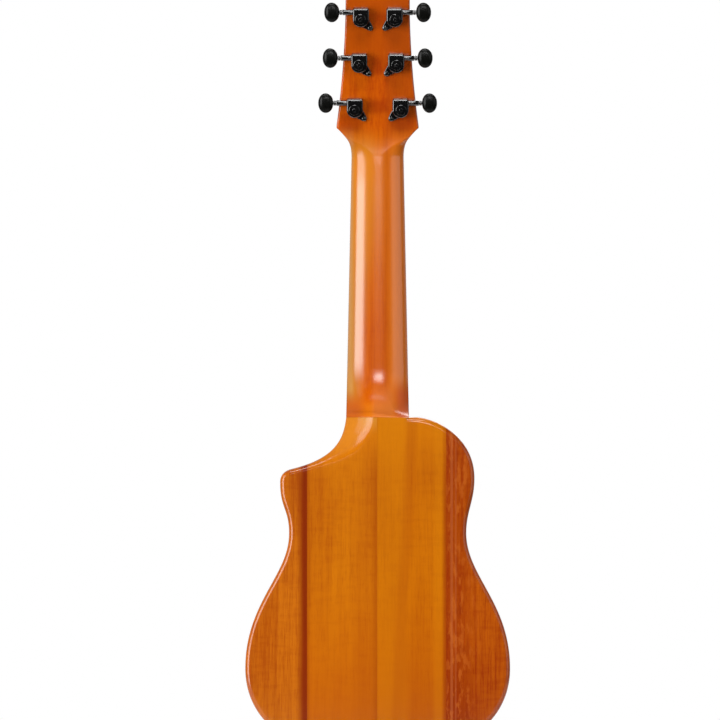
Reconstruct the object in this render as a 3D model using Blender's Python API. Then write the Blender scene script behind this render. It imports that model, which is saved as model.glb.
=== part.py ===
"""Guitalele: a six-string short-scale guitar with a carved, chambered body of four planks.

Metres. It stands upright: +Z runs from the tail to the headstock, the soundboard's face is
the plane Y = 0 and looks along +Y, and the flat back looks along -Y. Seen from the back, the
bass side (+X) is on the right and the treble side (-X), with the cutaway, on the left.
Z = 0 is the front edge of the nut, where the open strings start.
"""

import math

import bmesh
import bpy
import numpy as np
from mathutils import Matrix, Vector

# Strings and scale
SCALE_LENGTH = 0.433
BODY_FRET = 14
FRET_COUNT = 18
NUT_SPREAD = 0.038
SADDLE_SPREAD = 0.051
STRING_DIAMETERS = (0.0007, 0.0008, 0.001, 0.00075, 0.0009, 0.0011)
STRING_AT_NUT = 0.007
STRING_AT_SADDLE = 0.0118
STRING_REST = 0.0008
SADDLE_SETBACK = 0.002

# Clearances
GLUE = 0.0001
FIT = 0.0003
OVERSHOOT = 0.01
SHORT_OVERSHOOT = 0.001
OUTSIDE = 0.2

# Body outline, measured from the neck joint down and from the centre line out
UPPER_BOUT = 0.0838
UPPER_BOUT_AT = 0.0528
WAIST = 0.0767
WAIST_AT = 0.1
LOWER_BOUT = 0.1146
LOWER_BOUT_AT = 0.2171
BODY_LENGTH = 0.2969
SHOULDER_START = 0.0347
HORN = 0.0844
HORN_AT = 0.0571
CUTAWAY_CORNER = 0.0746
CUTAWAY_CORNER_AT = 0.045
CUTAWAY_LEAN = (0.9721, -0.2344)
CUTAWAY_FLARE = 0.0022
CUTAWAY_SWELL_POWER = 0.9

# How far the outline's curves pull on at each end before they bend
FLANK_PULLS = (0.0374, 0.0572)
TAIL_PULLS = (0.055, 0.059)
SHOULDER_PULLS = (0.0202, 0.0337)
SHOULDER_DROP = 0.002
UPPER_PULLS = (0.0195, 0.0188)
HORN_FLANK_PULLS = (0.0204, 0.021)
HORN_PULLS = (0.0024, 0.0109)
CUTAWAY_PULLS = (0.0406, 0.0179)

# Body thickness and walls
BODY_DEPTH = 0.045
EDGE_RADIUS = 0.0043
SOUNDBOARD = 0.0025
SIDE_WALL = 0.008
BACK_WALL = 0.004
NECK_BLOCK = 0.035
TAIL_BLOCK = 0.022
TREBLE_SEAM = -0.0611
CENTRE_SEAM = -0.0006
BASS_SEAM = 0.0592
CUTAWAY_BEVEL_WIDTH = 0.0243
CUTAWAY_BEVEL_HEIGHT = 0.02
CUTAWAY_BEVEL_SLOPE = 0.45

# Soundboard's front
SOUND_HOLE_RADIUS = 0.03
SOUND_HOLE_AT = 0.0779
ROSETTE_INNER = 0.0315
ROSETTE_OUTER = 0.037
ROSETTE_DEPTH = 0.0012
BRACE_WIDTH = 0.006
BRACE_HEIGHT = 0.009
BRACE_END_GAP = 0.0004
FAN_WIDTH = 0.004
FAN_SPREAD_TOP = 0.011
FAN_SPREAD_END = 0.02
BRIDGE_PLATE_THICKNESS = 0.002
BRIDGE_LENGTH = 0.14
BRIDGE_WIDTH = 0.024
BRIDGE_HEIGHT = 0.0078
BRIDGE_WING = 0.004
TIE_BLOCK_LENGTH = 0.062
TIE_HOLE_RADIUS = 0.0009
SADDLE_THICKNESS = 0.0024
SADDLE_LENGTH = 0.058
SADDLE_SLOT = 0.004
BRIDGE_FRONT = 0.006
TIE_CHANNEL_FLOOR = 0.0035
TIE_CHANNEL_FRONT = 0.003
TIE_CHANNEL_BACK = 0.0085
TIE_HOLE_HEIGHT = 0.0048
TIE_BEND = 0.0006
BRIDGE_EDGE = 0.0008
TIE_BLOCK_EDGE = 0.0006

# Neck
NUT_HALF_WIDTH = 0.0224
JOINT_HALF_WIDTH = 0.0273
NECK_DEPTH_NUT = 0.0145
NECK_DEPTH_HEEL = 0.0168
NECK_SIDE_WALL = 0.0022
NECK_ROUND_SHARE = 0.97
HEEL_START = 0.197
HEEL_CREST = 0.0052
HEEL_CREST_DROP = 0.0068
HEEL_COVE_PULLS = ((0.017, 0.0004), (0.006, 0.0152))
HEEL_NOSE_PULLS = ((0.0011, 0.0041), 0.0026)
HEEL_BLEND = 0.024
HEEL_BASS_BLEND = (-0.012, 0.04)
HEEL_SINK = 0.85
HEEL_SINK_FADE = 0.03
FLARE_START = -0.014
FLATTEN_RUN = 0.004
TENON_WIDTH = 0.03
TENON_LENGTH = 0.022
TENON_DEPTH = 0.0271

# Fretboard and nut
FRETBOARD = 0.005
FRETBOARD_PAST_FRETS = 0.0056
NUT_THICKNESS = 0.005
NUT_HEIGHT = 0.0078
FRET_WIDTH = 0.002
FRET_HEIGHT = 0.001
FRET_TANG = 0.0006
FRETBOARD_CHAMFER = 0.0004
BONE_EDGE = 0.0005

# Headstock, along its own tilted face
HEAD_TILT = math.radians(12)
HEAD_THICKNESS = 0.014
HEADPLATE = 0.0015
HEAD_LENGTH = 0.1462
EAR_AT = 0.009
EAR_HALF_WIDTH = 0.0357
EAR_PULLS = (0.014, (0.0077, 0.0068))
HEAD_SIDE_PULLS = ((0.0049, 0.036), 0.0366)
HEAD_TOP_HALF = 0.0278
HEAD_TOP_AT = 0.1216
HEAD_CROWN = 0.004
HEAD_EDGE = 0.0015
HEAD_TURN = (-0.008, 0.009)
HEAD_FILLET = 0.014

# Tuning machines: along the headstock, and out from its centre line
TUNER_STATIONS = (0.0264, 0.066, 0.1061)
TUNER_OFFSETS = (0.0203, 0.0164, 0.015)
POST_RADIUS = 0.003
POST_NECK_RADIUS = 0.0018
POST_FRONT = 0.0292
POST_CHAMFER = (0.0007, 0.0015)
POST_HOLE_RADIUS = 0.0008
HOLE_CLEARANCE = 0.0003
BUSHING_WALL = 0.001
BUSHING_DEPTH = 0.006
BUSHING_FLANGE = 0.0055
BUSHING_FLANGE_HEIGHT = 0.001
CASE_TOP = 0.00935
CASE_INNER = 0.0075
CASE_OUTER = 0.0067
CASE_FOOT = 0.0057
CASE_HEIGHT = 0.008
CASE_WALL = 0.0013
CASE_CHAMFER = 0.0018
CASE_SHOULDER = 0.001
CASE_END_WALL = 0.0022
LUG_AT = 0.0086
LUG_RADIUS = 0.0025
LUG_ROOT = (-0.0012, -0.0015)
LUG_ROOT_RADIUS = 0.0058
LUG_THICKNESS = 0.002
SLEEVE_RADIUS = 0.00245
SLEEVE_END = 0.0155
SLEEVE_ROOT = 0.0015
COVER_RADIUS = 0.0046
COVER_THICKNESS = 0.0006
SCREW_SHANK_RADIUS = 0.001
SCREW_LENGTH = 0.009
GEAR_TEETH = 14
GEAR_RADIUS = 0.0036
GEAR_WIDTH = 0.0032
GEAR_ROOM = 0.0005
TOOTH_ADDENDUM = 0.00045
TOOTH_DEDENDUM = 0.0006
TOOTH_BACKLASH = 0.0004
PRESSURE_ANGLE = math.radians(20)
WORM_RADIUS = 0.0019
WORM_LENGTH = 0.0062
WORM_ROOM = 0.0004
WORM_AXIS_HEIGHT = 0.004
KEY_SHAFT_RADIUS = 0.00115
KEY_COLLAR_RADIUS = 0.0022
KEY_COLLAR_LENGTH = 0.0021
BUTTON_WIDTH = 0.0131
BUTTON_LENGTH = 0.0173
BUTTON_THICKNESS = 0.007
BUTTON_BORE_DEPTH = 0.006
BUTTON_MIDDLE = 0.0247

# Turns of each string round its post
WINDING_TURNS = 2
WINDING_PITCH = 0.0017
WINDING_START = 0.0206
WINDING_BEND = 0.0012
WINDING_END = 0.0025
STRING_HOLE_PAST = 0.0007
STRING_HOLE_LEAD = (0.0008, 0.0004, 0.0002)

# Each string's bends at the bridge, over the saddle and at the nut
TIE_TAIL = 0.0004
TIE_SLACK = 0.0002
TIE_TURN = 0.0005
SADDLE_LEAD = (0.001, 0.0003)
SADDLE_CROWN = 0.0003
NUT_LEAD = 0.0004

# How a string's gap to itself is measured: the step, and how far along it counts as apart
GAP_STEP = 0.0004
GAP_APART = 0.004

# Places that follow from the sizes
FRET_RATIO = 2 ** (1 / 12)
JOINT_Z = -SCALE_LENGTH * (1 - FRET_RATIO**-BODY_FRET)
TAIL_Z = JOINT_Z - BODY_LENGTH
FRETBOARD_END = SCALE_LENGTH * (1 - FRET_RATIO**-FRET_COUNT) + FRETBOARD_PAST_FRETS
PLANK_FRONT = -SOUNDBOARD - GLUE
SOUND_HOLE_Z = JOINT_Z - SOUND_HOLE_AT
SADDLE_Z = -SCALE_LENGTH - SADDLE_SETBACK
WORM_OFFSET = GEAR_RADIUS + WORM_RADIUS
WORM_PITCH = math.tau * GEAR_RADIUS / GEAR_TEETH
BUSHING_BORE = POST_RADIUS + HOLE_CLEARANCE
BUSHING_RADIUS = BUSHING_BORE + BUSHING_WALL
HEAD_FRONT = HEAD_THICKNESS + GLUE + HEADPLATE
STRING_HOLE_AT = WINDING_START + WINDING_PITCH * (WINDING_TURNS + 0.5) + STRING_HOLE_PAST


for leftover in list(bpy.data.objects):
    bpy.data.objects.remove(leftover)
guitalele = bpy.data.collections.new("guitalele")
cutters = bpy.data.collections.new("cutters")
for new_collection in (guitalele, cutters):
    bpy.context.scene.collection.children.link(new_collection)


def finish(name, colour, roughness, metallic=0.0, coat=0.0):
    """A Principled BSDF material with the piece's colour, roughness and metallic value."""
    material = bpy.data.materials.new(name)
    material.use_nodes = True
    shader = material.node_tree.nodes["Principled BSDF"]
    shader.inputs["Base Color"].default_value = (*colour, 1)
    shader.inputs["Roughness"].default_value = roughness
    shader.inputs["Metallic"].default_value = metallic
    shader.inputs["Coat Weight"].default_value = coat
    return material


WING_WOOD = finish("wing wood", (0.42, 0.12, 0.02), 0.25, coat=0.6)
CORE_WOOD = finish("core wood", (0.6, 0.22, 0.02), 0.25, coat=0.6)
NECK_WOOD = finish("neck wood", (0.62, 0.17, 0.02), 0.25, coat=0.6)
SPRUCE = finish("spruce", (0.7, 0.47, 0.22), 0.35, coat=0.4)
ROSEWOOD = finish("rosewood", (0.07, 0.035, 0.02), 0.5)
BONE = finish("bone", (0.83, 0.78, 0.65), 0.4)
NYLON = finish("string nylon", (0.75, 0.75, 0.72), 0.3)
BLACK_METAL = finish("black metal", (0.02, 0.02, 0.022), 0.3, metallic=0.6)
BLACK_PLASTIC = finish("black plastic", (0.03, 0.03, 0.03), 0.4)
STEEL = finish("steel", (0.6, 0.6, 0.6), 0.25, metallic=1.0)
BRASS = finish("brass", (0.7, 0.5, 0.2), 0.3, metallic=1.0)


def smooth(mesh):
    mesh.shade_smooth()
    mesh.set_sharp_from_angle(angle=math.radians(35))


def place(name, mesh, material=None, collection=guitalele):
    """Links a new object, wood or metal for the model, or a bare wire shape for a cutter."""
    obj = bpy.data.objects.new(name, mesh)
    collection.objects.link(obj)
    if material is not None:
        mesh.materials.clear()
        mesh.materials.append(material)
        smooth(mesh)
    if collection is cutters:
        obj.hide_render = True
        obj.display_type = "WIRE"
    return obj


def from_bmesh(name, shape):
    bmesh.ops.recalc_face_normals(shape, faces=shape.faces)
    mesh = bpy.data.meshes.new(name)
    shape.to_mesh(mesh)
    shape.free()
    return mesh


def loft(name, rings):
    """Skins closed rings of equal counts, one after the other, and caps the first and last."""
    shape = bmesh.new()
    rows = [[shape.verts.new(point) for point in ring] for ring in rings]
    for lower, upper in zip(rows, rows[1:]):
        for index in range(len(lower)):
            after = (index + 1) % len(lower)
            shape.faces.new((lower[index], lower[after], upper[after], upper[index]))
    shape.faces.new(rows[0][::-1])
    shape.faces.new(rows[-1])
    bmesh.ops.remove_doubles(shape, verts=shape.verts, dist=1e-6)
    bmesh.ops.dissolve_degenerate(shape, edges=shape.edges, dist=1e-6)
    return from_bmesh(name, shape)


def box_mesh(name, low, high, bevel=0.0):
    """A box between two corners, with its edges rounded off where bevel is given."""
    shape = bmesh.new()
    middle = [(a + b) / 2 for a, b in zip(low, high)]
    size = [b - a for a, b in zip(low, high)]
    matrix = Matrix.Translation(middle) @ Matrix.Diagonal((*size, 1))
    bmesh.ops.create_cube(shape, size=1, matrix=matrix)
    if bevel:
        bmesh.ops.bevel(shape, geom=shape.edges, offset=bevel, segments=1, affect="EDGES")
    return from_bmesh(name, shape)


def turned(name, profile, steps):
    """A solid turned about Z from (radius, height) points that run down its outer side."""
    angles = np.arange(steps) * math.tau / steps
    rings = []
    for radius, height in profile:
        rings.append([(radius * math.cos(a), radius * math.sin(a), height) for a in angles])
    return loft(name, rings)


def rod_mesh(name, radius, start, end, sides):
    """A round bar from start to end."""
    start, end = Vector(start), Vector(end)
    axis = end - start
    shape = bmesh.new()
    matrix = Matrix.Translation((start + end) / 2) @ axis.to_track_quat("Z", "Y").to_matrix().to_4x4()
    bmesh.ops.create_cone(
        shape, cap_ends=True, segments=sides, radius1=radius, radius2=radius,
        depth=axis.length, matrix=matrix,
    )
    return from_bmesh(name, shape)


def merged(name, meshes):
    """Several separate solids in one mesh."""
    shape = bmesh.new()
    for mesh in meshes:
        shape.from_mesh(mesh)
    return from_bmesh(name, shape)


def outline_mesh(name, points, low_y, high_y):
    """A flat outline of (x, z) points, filled and extruded along Y as a 2D curve."""
    curve = bpy.data.curves.new(name, "CURVE")
    curve.dimensions = "2D"
    curve.fill_mode = "BOTH"
    curve.extrude = (high_y - low_y) / 2
    spline = curve.splines.new("POLY")
    spline.points.add(len(points) - 1)
    for point, (x, z) in zip(spline.points, points):
        point.co = (x, z, 0, 1)
    spline.use_cyclic_u = True
    holder = bpy.data.objects.new(name, curve)
    upright = Matrix.Rotation(math.pi / 2, 4, "X")
    holder.matrix_world = Matrix.Translation((0, (low_y + high_y) / 2, 0)) @ upright
    return meshed(holder)


def meshed(holder):
    """The mesh of a curve object, in world space, with its caps welded; the curve goes."""
    cutters.objects.link(holder)
    bpy.context.view_layer.update()
    graph = bpy.context.evaluated_depsgraph_get()
    mesh = bpy.data.meshes.new_from_object(holder.evaluated_get(graph))
    mesh.transform(holder.matrix_world)
    bpy.data.objects.remove(holder)
    shape = bmesh.new()
    shape.from_mesh(mesh)
    bmesh.ops.remove_doubles(shape, verts=shape.verts, dist=1e-6)
    return from_bmesh(mesh.name, shape)


def tube_mesh(name, points, diameter, resolution=1):
    """A round cord along a list of points, as a bevelled curve with filled caps."""
    curve = bpy.data.curves.new(name, "CURVE")
    curve.dimensions = "3D"
    curve.bevel_depth = diameter / 2
    curve.bevel_resolution = resolution
    curve.use_fill_caps = True
    spline = curve.splines.new("POLY")
    spline.points.add(len(points) - 1)
    for point, place_at in zip(spline.points, points):
        point.co = (*place_at, 1)
    return meshed(bpy.data.objects.new(name, curve))


def boolean(obj, other, operation="DIFFERENCE"):
    """Cuts, joins or intersects with another solid; other is a mesh or a cutter object."""
    if isinstance(other, bpy.types.Mesh):
        other = place(other.name, other, collection=cutters)
    modifier = obj.modifiers.new(other.name, "BOOLEAN")
    modifier.operation = operation
    modifier.object = other
    modifier.solver = "EXACT"
    return obj


def settled(obj):
    """The evaluated mesh of an object in its own space, for a shape used more than once."""
    bpy.context.view_layer.update()
    graph = bpy.context.evaluated_depsgraph_get()
    mesh = bpy.data.meshes.new_from_object(obj.evaluated_get(graph))
    mesh.name = obj.name
    bpy.data.objects.remove(obj)
    return mesh


def bezier(start, handle_out, handle_in, end, count):
    """Points of a cubic Bezier, its last point left to the next curve."""
    t = (np.arange(count) / count)[:, None]
    p0, p1, p2, p3 = (np.array(p, dtype=float) for p in (start, handle_out, handle_in, end))
    return (1 - t) ** 3 * p0 + 3 * (1 - t) ** 2 * t * p1 + 3 * (1 - t) * t**2 * p2 + t**3 * p3


def blend_step(value, start, end):
    """0 before start, 1 past end, and a smooth step between."""
    share = min(1.0, max(0.0, (value - start) / (end - start)))
    return share * share * (3 - 2 * share)


# Body outline
def half_outline_below_waist():
    """(out, down) from the waist through the lower bout to the tail's middle."""
    flank = bezier(
        (WAIST, WAIST_AT), (WAIST, WAIST_AT + FLANK_PULLS[0]),
        (LOWER_BOUT, LOWER_BOUT_AT - FLANK_PULLS[1]), (LOWER_BOUT, LOWER_BOUT_AT), 9,
    )
    tail = bezier(
        (LOWER_BOUT, LOWER_BOUT_AT), (LOWER_BOUT, LOWER_BOUT_AT + TAIL_PULLS[0]),
        (TAIL_PULLS[1], BODY_LENGTH), (0, BODY_LENGTH), 12,
    )
    return np.vstack([flank, tail])


def body_outline():
    """The body's outline from the joint's treble end round by the bass side and the tail.

    Returns (x, z) points, the direction each is drawn in along, how wide and how high the
    back's edge is rounded there, and how far the rounding is a plain slope.
    """
    joint = np.array([(-JOINT_HALF_WIDTH, 0), (JOINT_HALF_WIDTH, 0), (JOINT_HALF_WIDTH, 0)])
    shoulder = bezier(
        (SHOULDER_START, 0), (SHOULDER_START + SHOULDER_PULLS[0], SHOULDER_DROP),
        (UPPER_BOUT, UPPER_BOUT_AT - SHOULDER_PULLS[1]), (UPPER_BOUT, UPPER_BOUT_AT), 9,
    )
    upper = bezier(
        (UPPER_BOUT, UPPER_BOUT_AT), (UPPER_BOUT, UPPER_BOUT_AT + UPPER_PULLS[0]),
        (WAIST, WAIST_AT - UPPER_PULLS[1]), (WAIST, WAIST_AT), 5,
    )
    below = half_outline_below_waist()
    other_side = np.vstack([below, [(0, BODY_LENGTH)]])[::-1] * (-1, 1)
    horn_flank = bezier(
        (-WAIST, WAIST_AT), (-WAIST, WAIST_AT - HORN_FLANK_PULLS[0]),
        (-HORN, HORN_AT + HORN_FLANK_PULLS[1]), (-HORN, HORN_AT), 5,
    )
    lean = np.array(CUTAWAY_LEAN)
    corner = np.array((-CUTAWAY_CORNER, CUTAWAY_CORNER_AT))
    horn = bezier(
        (-HORN, HORN_AT), (-HORN, HORN_AT - HORN_PULLS[0]), corner - lean * HORN_PULLS[1], corner, 5
    )
    cutaway = bezier(
        corner, corner + lean * CUTAWAY_PULLS[0],
        (-JOINT_HALF_WIDTH - CUTAWAY_FLARE, CUTAWAY_PULLS[1]), (-JOINT_HALF_WIDTH, 0), 12,
    )
    down = np.vstack([joint, shoulder, upper, below, other_side[:-1], horn_flank, horn, cutaway])
    points = down * (1, -1) + (0, JOINT_Z)
    count = len(points)
    ahead = np.roll(points, -1, axis=0) - np.roll(points, 1, axis=0)
    ahead /= np.linalg.norm(ahead, axis=1)[:, None]
    inward = np.stack([ahead[:, 1], -ahead[:, 0]], axis=1)
    inward[0] = (1, 0)
    inward[1] = (-1, 0)
    inward[2] = (-1, -1)
    inward[3] = (0, -1)
    width = np.full(count, EDGE_RADIUS)
    height = np.full(count, EDGE_RADIUS)
    slope = np.zeros(count)
    along = np.linspace(1, 0, len(cutaway) + 1)[:-1]
    swell = 0.5 + 0.5 * np.cos(math.pi * along**CUTAWAY_SWELL_POWER)
    bevelled = slice(-len(cutaway), None)
    for places_at, share in ((bevelled, swell), (0, 1)):
        width[places_at] += (CUTAWAY_BEVEL_WIDTH - EDGE_RADIUS) * share
        height[places_at] += (CUTAWAY_BEVEL_HEIGHT - EDGE_RADIUS) * share
        slope[places_at] += CUTAWAY_BEVEL_SLOPE * share
    return points, inward, width, height, slope


OUTLINE, INWARD, EDGE_WIDTH, EDGE_HEIGHT, EDGE_SLOPE = body_outline()


def edge_drop(angle, slope):
    """How far an edge's surface lies below its top: an ellipse's, blended with a plain slope's."""
    return (1 - slope) * (1 - math.sin(angle)) + slope * math.cos(angle)


def body_ring(turn):
    """One ring of the rounded back edge: turn runs from 0 on the side to 1 on the flat back."""
    angle = turn * math.pi / 2
    drawn_in = OUTLINE + INWARD * (EDGE_WIDTH * (1 - math.cos(angle)))[:, None]
    depth = BODY_DEPTH - EDGE_HEIGHT * edge_drop(angle, EDGE_SLOPE)
    return [(x, -y, z) for (x, z), y in zip(drawn_in, depth)]


def body_blank():
    """The solid body before it is hollowed: straight sides and a rounded back edge."""
    front = [(x, PLANK_FRONT, z) for x, z in OUTLINE]
    rings = [front] + [body_ring(turn) for turn in (0, 0.25, 0.5, 0.75, 1)]
    return place("body_blank", loft("body_blank", rings), collection=cutters)


def chamber_outline():
    """The hollow's outline: the body's, drawn in by the side wall and stopped by the two blocks."""
    deeper = SIDE_WALL + 0.5 * (EDGE_WIDTH - EDGE_RADIUS)
    points = OUTLINE + INWARD * deeper[:, None]
    points = points[3:]
    top = JOINT_Z - NECK_BLOCK
    bottom = TAIL_Z + TAIL_BLOCK
    points[:, 1] = np.clip(points[:, 1], bottom, top)
    kept = []
    for before, point, after in zip(np.roll(points, 1, axis=0), points, np.roll(points, -1, axis=0)):
        on_block = point[1] in (bottom, top)
        inside_run = on_block and before[1] == point[1] == after[1]
        if not inside_run:
            kept.append(point)
    return np.array(kept)


def chamber():
    floor = -(BODY_DEPTH - BACK_WALL)
    hollow = outline_mesh("chamber", chamber_outline(), floor, SHORT_OVERSHOOT)
    return place("chamber", hollow, collection=cutters)


def planks():
    """Four planks glued edge to edge, hollowed from the front, with a pocket for the tenon."""
    blank = body_blank()
    hollow = chamber()
    pocket = box_mesh(
        "tenon_pocket",
        (-TENON_WIDTH / 2 - FIT, PLANK_FRONT - FIT - TENON_DEPTH - FIT, JOINT_Z - TENON_LENGTH - FIT),
        (TENON_WIDTH / 2 + FIT, OVERSHOOT, JOINT_Z + OVERSHOOT),
    )
    pocket = place("tenon_pocket", pocket, collection=cutters)
    rows = (
        ("body_wing_treble", -OUTSIDE, TREBLE_SEAM, WING_WOOD),
        ("body_core_treble", TREBLE_SEAM, CENTRE_SEAM, CORE_WOOD),
        ("body_core_bass", CENTRE_SEAM, BASS_SEAM, CORE_WOOD),
        ("body_wing_bass", BASS_SEAM, OUTSIDE, WING_WOOD),
    )
    for name, left, right, wood in rows:
        slice_low = (left + GLUE / 2, -BODY_DEPTH - OVERSHOOT, TAIL_Z - OVERSHOOT)
        slice_high = (right - GLUE / 2, OVERSHOOT, JOINT_Z + OVERSHOOT)
        plank = place(name, box_mesh(name, slice_low, slice_high), wood)
        boolean(plank, blank, "INTERSECT")
        boolean(plank, hollow)
        if "core" in name:
            boolean(plank, pocket)


def soundboard():
    """The two halves of the top, their centre joint, the sound hole and the rosette's channel."""
    blank = outline_mesh("soundboard_blank", np.delete(OUTLINE, 2, axis=0), -SOUNDBOARD, 0)
    blank = place("soundboard_blank", blank, collection=cutters)
    hole_axis = ((0, -OVERSHOOT, SOUND_HOLE_Z), (0, OVERSHOOT, SOUND_HOLE_Z))
    hole = rod_mesh("sound_hole", SOUND_HOLE_RADIUS, *hole_axis, 40)
    hole = place("sound_hole", hole, collection=cutters)
    floor = -ROSETTE_DEPTH - GLUE
    channel = rosette_mesh(
        "rosette_channel", ROSETTE_INNER - GLUE, ROSETTE_OUTER + GLUE, floor, SHORT_OVERSHOOT
    )
    channel = place("rosette_channel", channel, collection=cutters)
    for name, left, right in (("soundboard_treble", -OUTSIDE, 0), ("soundboard_bass", 0, OUTSIDE)):
        low = (left + GLUE / 2, -OVERSHOOT, TAIL_Z - OVERSHOOT)
        high = (right - GLUE / 2, OVERSHOOT, JOINT_Z + OVERSHOOT)
        half = place(name, box_mesh(name, low, high), SPRUCE)
        boolean(half, blank, "INTERSECT")
        boolean(half, hole)
        boolean(half, channel)
    rosette = rosette_mesh("rosette", ROSETTE_INNER, ROSETTE_OUTER, -ROSETTE_DEPTH, 0)
    place("rosette", rosette, ROSEWOOD)


def ring_mesh(name, loop, steps):
    """A ring turned about Z from a closed loop of (radius, height) points."""
    shape = bmesh.new()
    rows = []
    for step in range(steps):
        angle = step * math.tau / steps
        rows.append([shape.verts.new((r * math.cos(angle), r * math.sin(angle), z)) for r, z in loop])
    for step in range(steps):
        near = rows[step]
        after = rows[(step + 1) % steps]
        for corner in range(len(loop)):
            other = (corner + 1) % len(loop)
            shape.faces.new((near[corner], near[other], after[other], after[corner]))
    return from_bmesh(name, shape)


def rosette_mesh(name, inner, outer, low_y, high_y):
    """A flat ring round the sound hole."""
    mesh = ring_mesh(name, ((inner, low_y), (outer, low_y), (outer, high_y), (inner, high_y)), 40)
    mesh.transform(Matrix.Translation((0, 0, SOUND_HOLE_Z)) @ Matrix.Rotation(-math.pi / 2, 4, "X"))
    return mesh


def inside_half_width(low_z, high_z):
    """The chamber's half width, on its narrower side, over a band of heights."""
    outline = chamber_outline()
    least = LOWER_BOUT
    for z in (low_z, high_z):
        for start, end in zip(outline, np.roll(outline, -1, axis=0)):
            if (start[1] - z) * (end[1] - z) < 0:
                across = start[0] + (end[0] - start[0]) * (z - start[1]) / (end[1] - start[1])
                least = min(least, abs(across))
    return least


def braces():
    """Under the top: a cross brace above the sound hole, the fan braces below it, and the plate."""
    top = PLANK_FRONT
    low = top - BRACE_HEIGHT
    upper = SOUND_HOLE_Z + SOUND_HOLE_RADIUS + BRACE_WIDTH
    lower = SOUND_HOLE_Z - SOUND_HOLE_RADIUS - BRACE_WIDTH
    bars = []
    for name, z in (("upper_cross_brace", upper), ("fan_bracing", lower)):
        half = inside_half_width(z - BRACE_WIDTH / 2, z + BRACE_WIDTH / 2) - BRACE_END_GAP
        bar = box_mesh(name, (-half, low, z - BRACE_WIDTH / 2), (half, top, z + BRACE_WIDTH / 2))
        bars.append(place(name, bar, SPRUCE))
    fan_end = SADDLE_Z + BRIDGE_WIDTH
    fans = []
    for lane in range(-2, 3):
        start = Vector((lane * FAN_SPREAD_TOP, (top + low) / 2, lower))
        end = Vector((lane * FAN_SPREAD_END, (top + low) / 2, fan_end))
        along = end - start
        fan_low = (-FAN_WIDTH / 2, -BRACE_HEIGHT / 2, -along.length)
        fan = box_mesh("fan", fan_low, (FAN_WIDTH / 2, BRACE_HEIGHT / 2, 0))
        turn = Matrix.Rotation(math.atan2(-along.x, -along.z), 4, "Y")
        fan.transform(Matrix.Translation(start) @ turn)
        fans.append(fan)
    boolean(bars[1], merged("fans", fans), "UNION")
    plate = box_mesh(
        "bridge_plate",
        (-BRIDGE_LENGTH / 2, top - BRIDGE_PLATE_THICKNESS, SADDLE_Z - BRIDGE_WIDTH),
        (BRIDGE_LENGTH / 2, top, SADDLE_Z + BRIDGE_WIDTH / 3),
    )
    place("bridge_plate", plate, SPRUCE)


def bridge():
    """The bridge: thin wings, a block with the saddle's slot, and the tie block behind it."""
    front = SADDLE_Z + BRIDGE_FRONT
    back = front - BRIDGE_WIDTH
    wings = box_mesh(
        "bridge", (-BRIDGE_LENGTH / 2, GLUE, back), (BRIDGE_LENGTH / 2, BRIDGE_WING, front),
        bevel=BRIDGE_EDGE,
    )
    block = box_mesh(
        "tie_block", (-TIE_BLOCK_LENGTH / 2, GLUE * 2, back + GLUE),
        (TIE_BLOCK_LENGTH / 2, BRIDGE_HEIGHT, front - GLUE), bevel=TIE_BLOCK_EDGE,
    )
    channel = box_mesh(
        "tie_channel", (-TIE_BLOCK_LENGTH, TIE_CHANNEL_FLOOR, SADDLE_Z - TIE_CHANNEL_BACK),
        (TIE_BLOCK_LENGTH, BRIDGE_HEIGHT + OVERSHOOT, SADDLE_Z - TIE_CHANNEL_FRONT),
    )
    slot_half = SADDLE_THICKNESS / 2 + FIT
    slot = box_mesh(
        "saddle_slot", (-SADDLE_LENGTH / 2 - FIT, BRIDGE_HEIGHT - SADDLE_SLOT, SADDLE_Z - slot_half),
        (SADDLE_LENGTH / 2 + FIT, BRIDGE_HEIGHT + OVERSHOOT, SADDLE_Z + slot_half),
    )
    piece = place("bridge", wings, ROSEWOOD)
    boolean(piece, block, "UNION")
    boolean(piece, channel)
    boolean(piece, slot)
    holes = []
    for number in range(1, 7):
        x = string_x(number, SADDLE_SPREAD)
        start = (x, TIE_HOLE_HEIGHT, back - OVERSHOOT)
        end = (x, TIE_HOLE_HEIGHT, SADDLE_Z - TIE_CHANNEL_BACK + SHORT_OVERSHOOT)
        holes.append(rod_mesh("tie_hole", TIE_HOLE_RADIUS, start, end, 8))
    boolean(piece, merged("tie_holes", holes))
    saddle = box_mesh(
        "saddle", (-SADDLE_LENGTH / 2, BRIDGE_HEIGHT - SADDLE_SLOT + FIT, SADDLE_Z - SADDLE_THICKNESS / 2),
        (SADDLE_LENGTH / 2, STRING_AT_SADDLE - STRING_REST, SADDLE_Z + SADDLE_THICKNESS / 2),
        bevel=BONE_EDGE,
    )
    place("saddle", saddle, BONE)


def string_x(number, spread):
    """Across the neck: string 1 is the thin treble at -X and string 6 the thick bass at +X."""
    return (number - 3.5) / 5 * spread


def neck_half(z):
    """Half the neck's width, which grows evenly from the nut to the body."""
    return NUT_HALF_WIDTH + (JOINT_HALF_WIDTH - NUT_HALF_WIDTH) * z / JOINT_Z


def head_frame(u):
    """The point on the neck's front face at u along it, and the direction into the wood.

    u is Z up to the back of the nut, and runs on along the tilted headstock beyond it.
    """
    beyond = max(0.0, u - NUT_THICKNESS)
    height = min(u, NUT_THICKNESS) + beyond * math.cos(HEAD_TILT)
    point = Vector((0, -beyond * math.sin(HEAD_TILT), height))
    tilt = HEAD_TILT * blend_step(u, *HEAD_TURN)
    return point, Vector((0, -math.cos(tilt), -math.sin(tilt)))


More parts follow.
